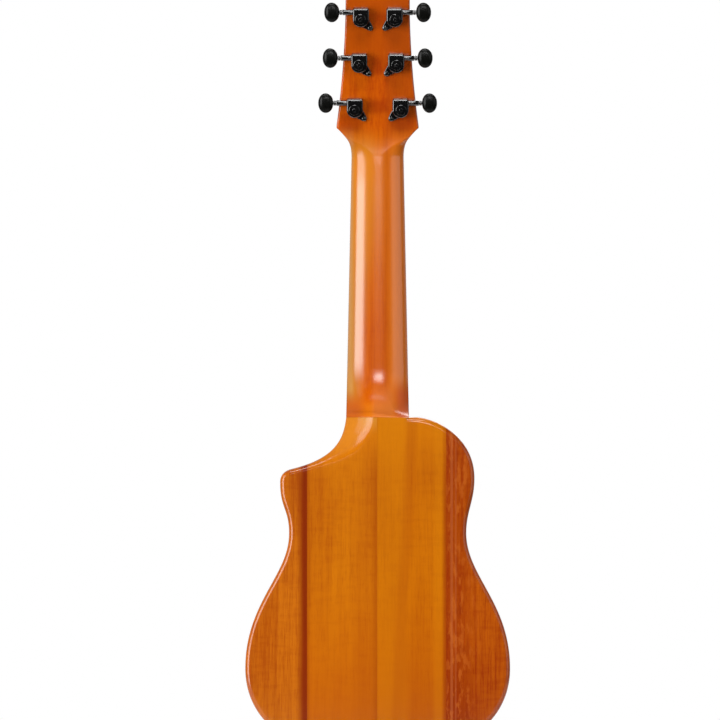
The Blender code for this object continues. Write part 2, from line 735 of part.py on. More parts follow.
def head_outline():
    """(half width, u) from the neck through the flared ears to the headstock's top."""
    ear = NUT_THICKNESS + EAR_AT
    top = NUT_THICKNESS + HEAD_TOP_AT
    end = NUT_THICKNESS + HEAD_LENGTH
    from_neck, (ear_in, ear_down) = EAR_PULLS
    flare = bezier(
        (neck_half(FLARE_START), FLARE_START), (neck_half(FLARE_START), FLARE_START + from_neck),
        (EAR_HALF_WIDTH - ear_in, ear - ear_down), (EAR_HALF_WIDTH, ear), 6,
    )
    (side_in, side_up), top_down = HEAD_SIDE_PULLS
    side = bezier(
        (EAR_HALF_WIDTH, ear), (EAR_HALF_WIDTH - side_in, ear + side_up),
        (HEAD_TOP_HALF, top - top_down), (HEAD_TOP_HALF, top), 7,
    )
    crown = [(HEAD_TOP_HALF, top)]
    for step in range(5):
        turn = step / 4 * math.radians(80)
        rise = HEAD_CROWN * (math.sin(turn) - 1)
        crown.append((HEAD_TOP_HALF * (1 - 0.5 * (1 - math.cos(turn))), end + rise))
    return np.vstack([flare, side, crown])


def section(u, half, depth, treble, bass, slope=0.0, steps=5):
    """A neck section: flat front, straight sides, and a rounded corner at each side of the back.

    treble and bass are the width and the height of those corners, and slope blends the treble
    one with the plain slope of the body's bevel.
    """
    origin, into = head_frame(u)
    ring = [(-half, 0)]
    for step in range(steps + 1):
        turn = step / steps * math.pi / 2
        ring.append((-half + treble[0] * (1 - math.cos(turn)), depth - treble[1] * edge_drop(turn, slope)))
    for step in range(steps + 1):
        turn = (1 - step / steps) * math.pi / 2
        ring.append((half - bass[0] * (1 - math.cos(turn)), depth - bass[1] * edge_drop(turn, 0)))
    ring.append((half, 0))
    return [origin + into * down + Vector((x, 0, 0)) for x, down in ring]


def heel_profile():
    """(z, depth) of the heel: a hollow curve from the shaft, then round onto the flat back."""
    crest = JOINT_Z + HEEL_CREST
    at_crest = BODY_DEPTH - HEEL_CREST_DROP
    (shaft_down, shaft_in), (crest_up, crest_in) = HEEL_COVE_PULLS
    cove = bezier(
        (-HEEL_START, NECK_DEPTH_HEEL), (-HEEL_START - shaft_down, NECK_DEPTH_HEEL + shaft_in),
        (crest + crest_up, at_crest - crest_in), (crest, at_crest), 7,
    )
    (nose_down, nose_in), back_up = HEEL_NOSE_PULLS
    nose = bezier(
        (crest, at_crest), (crest - nose_down, at_crest + nose_in),
        (crest - back_up, BODY_DEPTH), (JOINT_Z + GLUE, BODY_DEPTH), 4,
    )
    return np.vstack([cove, nose, [(JOINT_Z + GLUE, BODY_DEPTH)]])


def corner_between(first, last, share):
    """A corner's width and height, share of the way from the first to the last."""
    return tuple(start + (end - start) * share for start, end in zip(first, last))


def round_corner(half, depth):
    """The corner of the plain shaft, which leaves only low straight sides."""
    return NECK_ROUND_SHARE * half, depth - NECK_SIDE_WALL


def heel_rings():
    """The heel's sections from the joint up; its crest sinks to the joint on the bass side."""
    rings = []
    low, high = HEEL_BASS_BLEND
    crest = JOINT_Z + HEEL_CREST
    for z, depth in heel_profile()[::-1]:
        half = neck_half(z)
        plain = round_corner(half, depth)
        bevelled = 1 - blend_step(z, JOINT_Z + GLUE, JOINT_Z + HEEL_BLEND)
        squared = 1 - blend_step(z, JOINT_Z + low, JOINT_Z + high)
        treble = corner_between(plain, (CUTAWAY_BEVEL_WIDTH, CUTAWAY_BEVEL_HEIGHT), bevelled)
        bass = corner_between(plain, (EDGE_RADIUS, EDGE_RADIUS), squared)
        ring = section(z, half, depth, treble, bass, CUTAWAY_BEVEL_SLOPE * bevelled)
        sink = HEEL_SINK * (z - JOINT_Z) * (1 - blend_step(z, crest, crest + HEEL_SINK_FADE))
        for point in ring:
            point.z -= sink * blend_step(point.x, 0, half)
        rings.append(ring)
    return rings


def neck_rings():
    """The neck's sections, from the joint up to the top of the headstock."""
    rings = heel_rings()
    for z in np.linspace(-HEEL_START, FLARE_START, 6)[1:-1]:
        share = (z + HEEL_START) / HEEL_START
        depth = NECK_DEPTH_HEEL + (NECK_DEPTH_NUT - NECK_DEPTH_HEEL) * share
        half = neck_half(z)
        corner = round_corner(half, depth)
        rings.append(section(z, half, depth, corner, corner))
    for half, u in head_outline():
        flat = blend_step(u, FLARE_START - FLATTEN_RUN, NUT_THICKNESS + FLATTEN_RUN)
        shaft = NECK_DEPTH_NUT + (HEAD_THICKNESS - NECK_DEPTH_NUT) * flat
        corner = corner_between(round_corner(half, shaft), (HEAD_EDGE, HEAD_EDGE), flat)
        from_bend = max(0.0, HEAD_FILLET - abs(u - NUT_THICKNESS))
        fillet = HEAD_TILT * from_bend**2 / (4 * HEAD_FILLET)
        rings.append(section(u, half, shaft + fillet, corner, corner))
    return rings


def head_matrix(side, x, s):
    """A tuner's own frame: X outboard, Y up the headstock, Z out of its back face."""
    along = Vector((0, -math.sin(HEAD_TILT), math.cos(HEAD_TILT)))
    out = Vector((0, -math.cos(HEAD_TILT), -math.sin(HEAD_TILT)))
    origin = Vector((side * x, 0, NUT_THICKNESS)) + along * s + out * HEAD_THICKNESS
    matrix = Matrix((Vector((1, 0, 0)), along, out)).transposed().to_4x4()
    return Matrix.Translation(origin) @ matrix


def mirrored(mesh):
    """The left-hand copy of a mesh, with its faces turned back outwards."""
    copy = mesh.copy()
    copy.transform(Matrix.Scale(-1, 4, (1, 0, 0)))
    copy.flip_normals()
    return copy


def tuners():
    """(string number, side, matrix) of the six machines: the outer strings use the lowest."""
    places = []
    for row, (s, x) in enumerate(zip(TUNER_STATIONS, TUNER_OFFSETS)):
        places.append((1 + row, -1, head_matrix(-1, x, s)))
        places.append((6 - row, 1, head_matrix(1, x, s)))
    return sorted(places, key=lambda entry: entry[0])


def neck():
    """Neck, heel, tenon and headstock from one piece of wood, bored for the tuners."""
    piece = place("neck", loft("neck", neck_rings()), NECK_WOOD)
    top = PLANK_FRONT - FIT
    tenon = box_mesh(
        "tenon", (-TENON_WIDTH / 2, top - TENON_DEPTH, JOINT_Z - TENON_LENGTH),
        (TENON_WIDTH / 2, top, JOINT_Z + HEEL_CREST),
    )
    boolean(piece, tenon, "UNION")
    bores = []
    for number, side, matrix in tuners():
        bore = turned("bore", (
            (BUSHING_BORE, OVERSHOOT), (BUSHING_BORE, -HEAD_THICKNESS + BUSHING_DEPTH),
            (BUSHING_RADIUS + FIT, -HEAD_THICKNESS + BUSHING_DEPTH),
            (BUSHING_RADIUS + FIT, -HEAD_THICKNESS - OVERSHOOT),
        ), 12)
        bore.transform(matrix)
        pilot_ends = ((0, 0, OVERSHOOT), (0, 0, -SCREW_LENGTH))
        pilot = rod_mesh("pilot", SCREW_SHANK_RADIUS + FIT / 2, *pilot_ends, 8)
        pilot.transform(matrix @ Matrix.Translation((-side * LUG_AT, -LUG_AT, 0)))
        bores += [bore, pilot]
    boolean(piece, merged("head_bores", bores))


def headplate():
    """The dark veneer on the headstock's front, bored like the wood behind it."""
    outline = head_outline()
    start = NUT_THICKNESS + FIT
    first = np.interp(start, outline[:, 1], outline[:, 0])
    kept = np.vstack([[(first, start)], outline[outline[:, 1] > start + 0.001]])
    both = np.vstack([kept, (kept * (-1, 1))[::-1]])
    flat = Matrix.Translation((0, 0, NUT_THICKNESS)) @ Matrix.Rotation(HEAD_TILT, 4, "X")
    rings = []
    for lift in (GLUE, GLUE + HEADPLATE):
        rings.append([flat @ Vector((x, lift, u - NUT_THICKNESS)) for x, u in both])
    piece = place("headplate", loft("headplate", rings), ROSEWOOD)
    bores = []
    for number, side, matrix in tuners():
        ends = ((0, 0, -HEAD_THICKNESS + OVERSHOOT / 2), (0, 0, -HEAD_THICKNESS - OVERSHOOT))
        bore = rod_mesh("plate_bore", BUSHING_RADIUS + FIT, *ends, 12)
        bore.transform(matrix)
        bores.append(bore)
    boolean(piece, merged("plate_bores", bores))


def fret_z(number):
    return -SCALE_LENGTH * (1 - FRET_RATIO**-number)


def fretboard():
    """The fretboard with its frets pressed in, and the slotted nut at its end."""
    chamfer = FRETBOARD_CHAMFER
    rings = []
    for z in (-FRETBOARD_END, -GLUE):
        half = neck_half(z)
        corners = (
            (-half, GLUE), (half, GLUE), (half, FRETBOARD - chamfer), (half - chamfer, FRETBOARD),
            (-half + chamfer, FRETBOARD), (-half, FRETBOARD - chamfer),
        )
        rings.append([(x, y, z) for x, y in corners])
    board = place("fretboard", loft("fretboard", rings), ROSEWOOD)
    bars = []
    crown = ((0.5, 0.1), (0.3, 0.8), (-0.3, 0.8), (-0.5, 0.1))
    for fret in range(1, FRET_COUNT + 1):
        z = fret_z(fret)
        half = neck_half(z) - 2 * chamfer
        low = FRETBOARD - FRET_TANG
        ends = []
        for x in (-half, half):
            rim = [(x, FRETBOARD + high * FRET_HEIGHT, z + wide * FRET_WIDTH) for wide, high in crown]
            foot = [(x, low, z - FRET_WIDTH / 2), (x, low, z + FRET_WIDTH / 2)]
            ends.append(foot + rim)
        bars.append(loft("fret", ends))
    boolean(board, merged("frets", bars), "UNION")
    half = neck_half(0)
    nut = box_mesh("nut", (-half, GLUE, 0), (half, NUT_HEIGHT, NUT_THICKNESS), bevel=BONE_EDGE)
    nut = place("nut", nut, BONE)
    slots = []
    for number, diameter in enumerate(STRING_DIAMETERS, start=1):
        x = string_x(number, NUT_SPREAD)
        wide = diameter / 2 + FIT
        floor = STRING_AT_NUT - diameter / 2 - FIT
        low = (x - wide, floor, -OVERSHOOT)
        high = (x + wide, NUT_HEIGHT + OVERSHOOT, NUT_THICKNESS + OVERSHOOT)
        slots.append(box_mesh("slot", low, high))
    boolean(nut, merged("nut_slots", slots))


def case_outline(inset):
    """The tuner case seen from above: square at the worm's end, rounded at the gear's end."""
    left = -CASE_INNER + inset
    right = CASE_OUTER - inset
    middle = (left + right) / 2
    points = [(right, CASE_TOP - inset), (left, CASE_TOP - inset)]
    for step in range(7):
        angle = math.pi + step * math.pi / 6
        across = middle + (right - left) / 2 * math.cos(angle)
        points.append((across, CASE_SHOULDER + (CASE_SHOULDER + CASE_FOOT - inset) * math.sin(angle)))
    return points


def lug_outline(steps=16):
    """The screw lug seen from above: it tapers from the case's lower part to the screw."""
    discs = ((*LUG_ROOT, LUG_ROOT_RADIUS), (-LUG_AT, -LUG_AT, LUG_RADIUS))
    points = []
    for step in range(steps):
        angle = step * math.tau / steps
        way = Vector((math.cos(angle), math.sin(angle)))
        x, y, radius = max(discs, key=lambda disc: way.x * disc[0] + way.y * disc[1] + disc[2])
        points.append((x + radius * way.x, y + radius * way.y))
    return points


def case():
    """The closed black case for gear and worm: its round cover, shaft sleeve and screw lug."""
    heights = ((GLUE, 0), (CASE_HEIGHT - CASE_CHAMFER, 0), (CASE_HEIGHT, CASE_CHAMFER * 0.8))
    rings = [[(x, y, z) for x, y in case_outline(inset)] for z, inset in heights]
    piece = place("case", loft("case", rings), collection=cutters)
    cover_ends = ((0, 0, CASE_HEIGHT - COVER_THICKNESS), (0, 0, CASE_HEIGHT + COVER_THICKNESS))
    boolean(piece, rod_mesh("cover", COVER_RADIUS, *cover_ends, 12), "UNION")
    axis_at = (WORM_OFFSET, WORM_AXIS_HEIGHT)
    sleeve_ends = ((CASE_OUTER - SLEEVE_ROOT, *axis_at), (SLEEVE_END, *axis_at))
    boolean(piece, rod_mesh("sleeve", SLEEVE_RADIUS, *sleeve_ends, 10), "UNION")
    lug = [[(x, y, z) for x, y in lug_outline()] for z in (GLUE * 2, GLUE * 2 + LUG_THICKNESS)]
    boolean(piece, loft("lug", lug), "UNION")
    roof = CASE_HEIGHT - CASE_WALL
    gear_room = GEAR_RADIUS + TOOTH_ADDENDUM + GEAR_ROOM
    boolean(piece, rod_mesh("gear_room", gear_room, (0, 0, -SHORT_OVERSHOOT), (0, 0, roof), 12))
    worm_room = WORM_RADIUS + TOOTH_ADDENDUM + WORM_ROOM
    room_low = (-WORM_LENGTH / 2 - GEAR_ROOM, 0, -SHORT_OVERSHOOT)
    room_high = (WORM_LENGTH / 2 + GEAR_ROOM, WORM_OFFSET + worm_room, roof)
    boolean(piece, box_mesh("worm_room", room_low, room_high))
    bore_ends = ((-CASE_INNER + CASE_END_WALL, *axis_at), (SLEEVE_END + OVERSHOOT, *axis_at))
    boolean(piece, rod_mesh("shaft_bore", KEY_SHAFT_RADIUS + FIT, *bore_ends, 8))
    hole_ends = ((-LUG_AT, -LUG_AT, -SHORT_OVERSHOOT), (-LUG_AT, -LUG_AT, OVERSHOOT))
    boolean(piece, rod_mesh("lug_hole", SCREW_SHANK_RADIUS + FIT, *hole_ends, 6))
    return settled(piece)


def key_shaft(columns=8):
    """The worm and its shaft, collar and end pin, turned about the worm's axis along X.

    Each row of the worm follows the helix, so a row that leaves the last column comes back
    in the first one a whole thread further on.
    """
    half_tooth = (WORM_PITCH / 2 - TOOTH_BACKLASH / 2) / 2
    flank = math.tan(PRESSURE_ANGLE)
    tip = half_tooth - flank * TOOTH_ADDENDUM
    root = half_tooth + flank * TOOTH_DEDENDUM
    root_radius = WORM_RADIUS - TOOTH_DEDENDUM
    tip_radius = WORM_RADIUS + TOOTH_ADDENDUM
    thread = ((-root, root_radius), (-tip, tip_radius), (tip, tip_radius), (root, root_radius))
    end = WORM_LENGTH / 2
    threads = math.ceil(WORM_LENGTH / WORM_PITCH) + 2
    shape = bmesh.new()

    def corner(x, radius, column):
        angle = column * math.tau / columns
        across = WORM_OFFSET - radius * math.cos(angle)
        return shape.verts.new((x, across, WORM_AXIS_HEIGHT - radius * math.sin(angle)))

    def thread_corner(row, column):
        turn, phase = divmod(row, 4)
        x = (turn - threads // 2) * WORM_PITCH + thread[phase][0] + column / columns * WORM_PITCH
        radius = thread[phase][1]
        if abs(x) >= end:
            x = math.copysign(end, x)
            radius = root_radius
        return corner(x, radius, column)

    for row in range(-4, 4 * threads):
        for column in range(columns):
            shape.faces.new((
                thread_corner(row, column), thread_corner(row, column + 1),
                thread_corner(row + 1, column + 1), thread_corner(row + 1, column),
            ))
    collar_start = SLEEVE_END + FIT
    collar_end = collar_start + KEY_COLLAR_LENGTH
    pin_end = BUTTON_MIDDLE - BUTTON_WIDTH / 2 + BUTTON_BORE_DEPTH - FIT
    outer_end = (
        (end, root_radius), (end, KEY_SHAFT_RADIUS), (collar_start, KEY_SHAFT_RADIUS),
        (collar_start, KEY_COLLAR_RADIUS), (collar_end, KEY_COLLAR_RADIUS),
        (collar_end, KEY_SHAFT_RADIUS), (pin_end, KEY_SHAFT_RADIUS),
    )
    inner_tip = -CASE_INNER + CASE_END_WALL + FIT
    inner_end = ((-end, root_radius), (-end, KEY_SHAFT_RADIUS), (inner_tip, KEY_SHAFT_RADIUS))
    for stations in (outer_end, inner_end):
        for (x, radius), (next_x, next_radius) in zip(stations, stations[1:]):
            for column in range(columns):
                shape.faces.new((
                    corner(x, radius, column), corner(x, radius, column + 1),
                    corner(next_x, next_radius, column + 1), corner(next_x, next_radius, column),
                ))
        shape.faces.new([corner(*stations[-1], column) for column in range(columns)])
    bmesh.ops.remove_doubles(shape, verts=shape.verts, dist=2e-6)
    bmesh.ops.dissolve_degenerate(shape, edges=shape.edges, dist=1e-6)
    return from_bmesh("key_shaft", shape)


def gear():
    """The worm wheel: straight-flanked teeth, twisted to lie along the worm's thread."""
    half_tooth = (WORM_PITCH / 2 - TOOTH_BACKLASH / 2) / 2
    flank = math.tan(PRESSURE_ANGLE)
    tip = (half_tooth - flank * TOOTH_ADDENDUM) / (GEAR_RADIUS + TOOTH_ADDENDUM)
    root = (half_tooth + flank * TOOTH_DEDENDUM) / (GEAR_RADIUS - TOOTH_DEDENDUM)
    inner = GEAR_RADIUS - TOOTH_DEDENDUM
    outer = GEAR_RADIUS + TOOTH_ADDENDUM
    lead = WORM_PITCH / (math.tau * WORM_RADIUS) / GEAR_RADIUS
    rings = []
    for rise in (-GEAR_WIDTH / 2, GEAR_WIDTH / 2):
        ring = []
        for tooth in range(GEAR_TEETH):
            middle = math.pi / 2 + (tooth + 0.5) * math.tau / GEAR_TEETH + rise * lead
            for turn, radius in ((-root, inner), (-tip, outer), (tip, outer), (root, inner)):
                angle = middle + turn
                ring.append((radius * math.cos(angle), radius * math.sin(angle), WORM_AXIS_HEIGHT + rise))
        rings.append(ring)
    piece = place("gear", loft("gear", rings), collection=cutters)
    bore_ends = ((0, 0, -OVERSHOOT), (0, 0, CASE_HEIGHT + OVERSHOOT))
    boolean(piece, rod_mesh("gear_bore", POST_NECK_RADIUS + FIT, *bore_ends, 12))
    return settled(piece)


def post():
    """The string post: a neck for the gear, the bearing length, and the cross hole in front."""
    shoulder = WORM_AXIS_HEIGHT - GEAR_WIDTH / 2 - FIT
    inset, down = POST_CHAMFER
    profile = (
        (POST_NECK_RADIUS, WORM_AXIS_HEIGHT + GEAR_WIDTH / 2 + FIT), (POST_NECK_RADIUS, shoulder),
        (POST_RADIUS, shoulder), (POST_RADIUS, -POST_FRONT + down), (POST_RADIUS - inset, -POST_FRONT),
    )
    piece = place("post", turned("post", profile, 12), collection=cutters)
    hole_ends = ((-OVERSHOOT, 0, -STRING_HOLE_AT), (OVERSHOOT, 0, -STRING_HOLE_AT))
    boolean(piece, rod_mesh("cross_hole", POST_HOLE_RADIUS, *hole_ends, 8))
    return settled(piece)


def button():
    """The oval plastic button, bored for the shaft's end."""
    shape = bmesh.new()
    size = Matrix.Diagonal((BUTTON_WIDTH / 2, BUTTON_LENGTH / 2, BUTTON_THICKNESS / 2, 1))
    middle = (BUTTON_MIDDLE, WORM_OFFSET, WORM_AXIS_HEIGHT)
    bmesh.ops.create_uvsphere(
        shape, u_segments=12, v_segments=6, radius=1, matrix=Matrix.Translation(middle) @ size
    )
    piece = place("button", from_bmesh("button", shape), collection=cutters)
    inner = BUTTON_MIDDLE - BUTTON_WIDTH / 2
    ends = ((inner - OVERSHOOT, *middle[1:]), (inner + BUTTON_BORE_DEPTH, *middle[1:]))
    boolean(piece, rod_mesh("button_bore", KEY_SHAFT_RADIUS + FIT, *ends, 10))
    return settled(piece)


def bushing():
    """The flanged sleeve that carries the post at the headstock's front."""
    seat = -HEAD_FRONT - GLUE
    inner_end = -HEAD_THICKNESS + BUSHING_DEPTH - FIT
    loop = (
        (BUSHING_BORE, inner_end), (BUSHING_RADIUS, inner_end),
        (BUSHING_RADIUS, seat), (BUSHING_FLANGE, seat), (BUSHING_FLANGE, seat - BUSHING_FLANGE_HEIGHT),
        (BUSHING_BORE, seat - BUSHING_FLANGE_HEIGHT),
    )
    return ring_mesh("bushing", loop, 12)


def tuning_machines():
    """Six machines, right-hand ones on the bass side and left-hand ones on the treble side."""
    meshes = {
        "tuner_case": (case(), BLACK_METAL),
        "key_shaft": (key_shaft(), STEEL),
        "button": (button(), BLACK_PLASTIC),
        "post": (post(), STEEL),
        "gear": (gear(), BRASS),
        "bushing": (bushing(), STEEL),
    }
    both_hands = {}
    for name, (mesh, material) in meshes.items():
        mesh.materials.clear()
        mesh.materials.append(material)
        smooth(mesh)
        both_hands[name] = {1: mesh, -1: mirrored(mesh)}
    for number, side, matrix in tuners():
        for name, hands in both_hands.items():
            piece = place(f"{name}_{number}", hands[side])
            piece.matrix_world = matrix


def winding(number, diameter):
    """One string's points round its post, from where it meets the post to its end in the hole."""
    side = 1 if number > 3 else -1
    matrix = next(matrix for listed, _, matrix in tuners() if listed == number)
    reach = POST_RADIUS + FIT + diameter / 2
    bend = WINDING_BEND
    last = WINDING_TURNS * math.tau + math.pi - math.asin(bend / reach)
    count = round(last / math.tau * 8)
    points = []
    for step in range(count + 1):
        angle = last * step / count
        rise = WINDING_START + WINDING_PITCH * angle / math.tau
        points.append((-side * reach * math.cos(angle), reach * math.sin(angle), -rise))
    inboard, up, above = STRING_HOLE_LEAD
    points.append((side * (reach - bend + inboard), up, -STRING_HOLE_AT + above))
    points.append((side * (reach - bend), 0, -STRING_HOLE_AT))
    points.append((-side * (reach + WINDING_END), 0, -STRING_HOLE_AT))
    return [matrix @ Vector(point) for point in points]


def least_gap(points, diameter):
    """The least clear distance between stretches of one string that aren't neighbours along it."""
    places_along = np.array([list(point) for point in points])
    lengths = np.linalg.norm(np.diff(places_along, axis=0), axis=1)
    finer = []
    along = []
    total = 0.0
    for start, end, length in zip(places_along, places_along[1:], lengths):
        steps = max(1, int(length / GAP_STEP))
        for step in range(steps):
            finer.append(start + (end - start) * step / steps)
            along.append(total + length * step / steps)
        total += length
    finer = np.array(finer[-600:])
    along = np.array(along[-600:])
    apart = np.linalg.norm(finer[:, None] - finer[None], axis=2)
    far_along = np.abs(along[:, None] - along[None]) > 4 * diameter + GAP_APART
    return apart[far_along].min() - diameter


def strings():
    """Six strings, each one cord: tied at the bridge, over saddle and nut, wound on its post."""
    behind = SADDLE_Z + BRIDGE_FRONT - BRIDGE_WIDTH
    channel = SADDLE_Z - TIE_CHANNEL_BACK
    for number, diameter in enumerate(STRING_DIAMETERS, start=1):
        at_saddle = string_x(number, SADDLE_SPREAD)
        at_nut = string_x(number, NUT_SPREAD)
        over = BRIDGE_HEIGHT + FIT + diameter / 2
        wrap = behind - FIT - diameter
        points = [
            Vector((at_saddle, over, channel + TIE_TAIL)),
            Vector((at_saddle, over, behind + TIE_BEND)),
            Vector((at_saddle, over - TIE_BEND, wrap + TIE_SLACK)),
            Vector((at_saddle, (over + TIE_HOLE_HEIGHT) / 2, wrap)),
            Vector((at_saddle, TIE_HOLE_HEIGHT + TIE_TURN, wrap)),
            Vector((at_saddle, TIE_HOLE_HEIGHT, behind - TIE_SLACK)),
            Vector((at_saddle, TIE_HOLE_HEIGHT, channel + TIE_BEND)),
            Vector((at_saddle, STRING_AT_SADDLE - SADDLE_CROWN, SADDLE_Z - SADDLE_LEAD[0])),
            Vector((at_saddle, STRING_AT_SADDLE, SADDLE_Z + SADDLE_LEAD[1])),
            Vector((at_nut, STRING_AT_NUT, -NUT_LEAD)),
            Vector((at_nut, STRING_AT_NUT, NUT_THICKNESS)),
        ]
        points += winding(number, diameter)
        gap = least_gap(points, diameter)
        print(f"string_{number}: least gap to itself {gap * 1000:.2f} mm")
        place(f"string_{number}", tube_mesh(f"string_{number}", points, diameter), NYLON)


planks()
soundboard()
braces()
bridge()
neck()
headplate()
fretboard()
tuning_machines()
strings()
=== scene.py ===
import math

import bmesh
import bpy
import numpy as np
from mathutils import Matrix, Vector


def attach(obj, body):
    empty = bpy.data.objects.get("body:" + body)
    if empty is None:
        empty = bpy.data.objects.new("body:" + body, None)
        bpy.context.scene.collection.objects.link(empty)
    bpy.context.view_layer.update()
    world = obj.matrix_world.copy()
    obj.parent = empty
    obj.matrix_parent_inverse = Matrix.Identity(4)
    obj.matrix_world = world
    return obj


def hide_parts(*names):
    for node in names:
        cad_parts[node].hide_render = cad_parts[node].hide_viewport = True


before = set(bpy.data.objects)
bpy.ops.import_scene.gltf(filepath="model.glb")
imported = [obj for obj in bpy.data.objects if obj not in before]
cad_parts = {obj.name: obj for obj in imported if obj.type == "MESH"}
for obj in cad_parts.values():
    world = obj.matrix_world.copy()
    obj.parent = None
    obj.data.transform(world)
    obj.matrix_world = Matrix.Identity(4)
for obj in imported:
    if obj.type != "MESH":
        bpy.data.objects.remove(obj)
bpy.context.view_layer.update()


# Body. A tub glued up from four planks, two pale cores between two darker wings, and hollowed from
# the front. Its back edge is rounded over and widens into the carved bevel of the cutaway, and the
# wood is stained and lies under a clear varnish.
scale_length = 0.433
body_length, body_depth = 0.2969, 0.045
back_thickness, side_thickness, top_rebate = 0.004, 0.008, 0.0026
neck_block, tail_block = 0.035, 0.022
joint_half = 0.0273
past_outline = 0.2
seams = (-past_outline, -0.0611, -0.0006, 0.0592, past_outline)


def fret_z(fret):
    """Height of a fret, which is scale * (1 - 2^(-fret/12)) below the nut."""
    return -scale_length * (1 - 2 ** (-fret / 12))


joint_z = fret_z(14)
tail_z = joint_z - body_length


class Node:
    """One output socket of a material's nodes: arithmetic on it adds Math nodes, so that a pattern
    on wood or metal reads as a formula. Colours go through Mix nodes."""

    def __init__(self, tree, socket):
        self.tree = tree
        self.socket = socket

    def make(self, kind, settings=None, output=0, **inputs):
        """Adds a node of any kind with its settings; its inputs, by name or by number as i0, i1 and
        so on, take values or Nodes."""
        node = self.tree.nodes.new("ShaderNode" + kind)
        for name, value in (settings or {}).items():
            setattr(node, name, value)
        for name, value in inputs.items():
            socket = node.inputs[int(name[1:]) if name[1:].isdigit() else name.replace("_", " ")]
            if isinstance(value, Node):
                self.tree.links.new(value.socket, socket)
            else:
                socket.default_value = value
        return Node(self.tree, node.outputs[output])

    def math(self, operation, *others):
        values = {f"i{k}": v for k, v in enumerate((self, *others))}
        return self.make("Math", {"operation": operation}, **values)

    def __add__(self, other):
        return self.math("ADD", other)

    def __sub__(self, other):
        return self.math("SUBTRACT", other)

    def __rsub__(self, other):
        return (self * -1) + other

    def __mul__(self, other):
        return self.math("MULTIPLY", other)

    def power(self, other):
        return self.math("POWER", other)

    def within(self, low, high):
        """0 below low, 1 above high and a smooth step between."""
        return self.make(
            "MapRange", {"interpolation_type": "SMOOTHSTEP"}, i0=self, i1=low, i2=high, i3=0.0, i4=1.0
        )

    def band(self, middle, half, soft):
        """1 in a band round middle and 0 outside it, with soft edges."""
        return 1 - (self - middle).math("ABSOLUTE").within(half, half + soft)

    def blend(self, colour, other):
        """colour where self is 0 and other where it is 1."""
        ends = [(*end, 1) if isinstance(end, tuple) else end for end in (colour, other)]
        return self.make("Mix", {"data_type": "RGBA"}, 2, i0=self, i6=ends[0], i7=ends[1])

    def bump(self, strength, distance):
        """Dents and rises of the surface, with self as their height and distance their full depth."""
        return self.make("Bump", None, Strength=strength, Distance=distance, Height=self)

    def noise(self, scale, detail, rough=0.5, stretch=None):
        """Noise at a scale per metre, drawn out along each axis by stretch."""
        vector = self
        if stretch is not None:
            vector = self.make("Mapping", None, i0=self, Scale=stretch)
        return self.make("TexNoise", None, Vector=vector, Scale=scale, Detail=detail, Roughness=rough)


def material(name, roughness, metallic=0.0, coat=0.0, coat_roughness=0.05, **extra):
    """A new material: returns it, the object's coordinates, and a function that links sockets."""
    made = bpy.data.materials.new(name)
    made.use_nodes = True
    tree = made.node_tree
    shader = tree.nodes["Principled BSDF"]
    fixed = dict(
        Roughness=roughness, Metallic=metallic, Coat_Weight=coat, Coat_Roughness=coat_roughness, **extra,
    )
    for key, value in fixed.items():
        shader.inputs[key.replace("_", " ")].default_value = value
    coordinates = Node(tree, tree.nodes.new("ShaderNodeTexCoord").outputs["Object"])

    def link(**sockets):
        for key, value in sockets.items():
            tree.links.new(value.socket, shader.inputs[key.replace("_", " ")])

    return made, coordinates, link


def axes(coordinates):
    """The three coordinates of a vector socket."""
    return [coordinates.make("SeparateXYZ", None, k, i0=coordinates) for k in range(3)]


def grain(coordinates, colour, dark, streak, pores, seed):
    """Wood that goes from colour to dark with long fine lines along Z, by streak, short strokes, a
    ripple across and flecks, by pores, and slow clouds; seed moves to another piece of the noise."""
    x, y, z = axes(coordinates)
    shift = (seed, seed * 2, seed * 3)
    shifted = coordinates.make("VectorMath", {"operation": "ADD"}, i0=coordinates, i1=shift)
    wave = shifted.noise(9, 2, 0.5, (1.0, 1.0, 0.35))
    across = x + (wave - 0.5) * 0.012
    line_place = coordinates.make("CombineXYZ", None, i0=across, i1=y, i2=z)
    lines = line_place.noise(430, 4, 0.65, (1.0, 0.6, 0.02)).within(0.38, 0.70)
    strokes = shifted.noise(620, 3, 0.7, (1.0, 1.0, 0.09)).within(0.48, 0.66)
    clouds = shifted.noise(30, 3, 0.6, (1.0, 1.0, 0.2)).within(0.38, 0.66)
    ripple = shifted.noise(150, 3, 0.6, (0.35, 1.0, 1.5)).within(0.45, 0.68)
    fleck = shifted.noise(1500, 2, 0.6, (1.0, 1.0, 0.05)).within(0.60, 0.70)
    amount = lines * streak + strokes * 0.34 * pores + clouds * 0.4
    amount = amount + ripple * 0.2 * pores + fleck * (pores * 0.3)
    return amount.math("MINIMUM", 1.0).blend(colour, dark)


def varnish(name, shade, soft=0.16, gloss=None, build=1.5):
    """A varnished wood: its colour comes from shade(coordinates, x, y, z) and its coat's strength
    from gloss(x, y, z); soft dulls the coat, and build is the varnish's index of refraction."""
    made, place, link = material(
        name, 0.5, coat=1.0, coat_roughness=soft, Coat_IOR=build, Specular_IOR_Level=0.0,
    )
    x, y, z = axes(place)
    colour = shade(place, x, y, z)
    swell = place.noise(14, 2, 0.5, (1.0, 1.0, 0.4)) * 0.6
    ripple = swell + place.noise(900, 2, 0.5, (1.0, 1.0, 0.04)) * 0.08
    link(Base_Color=colour, Normal=ripple.bump(0.12, 0.0012))
    if gloss:
        link(Coat_Weight=gloss(x, y, z))
    return made


def stained(wood, *layers):
    """Wood with layers of stain over it, each a mask and the colour it blends in, in their order."""
    for mask, colour in layers:
        wood = mask.blend(wood, colour)
    return wood


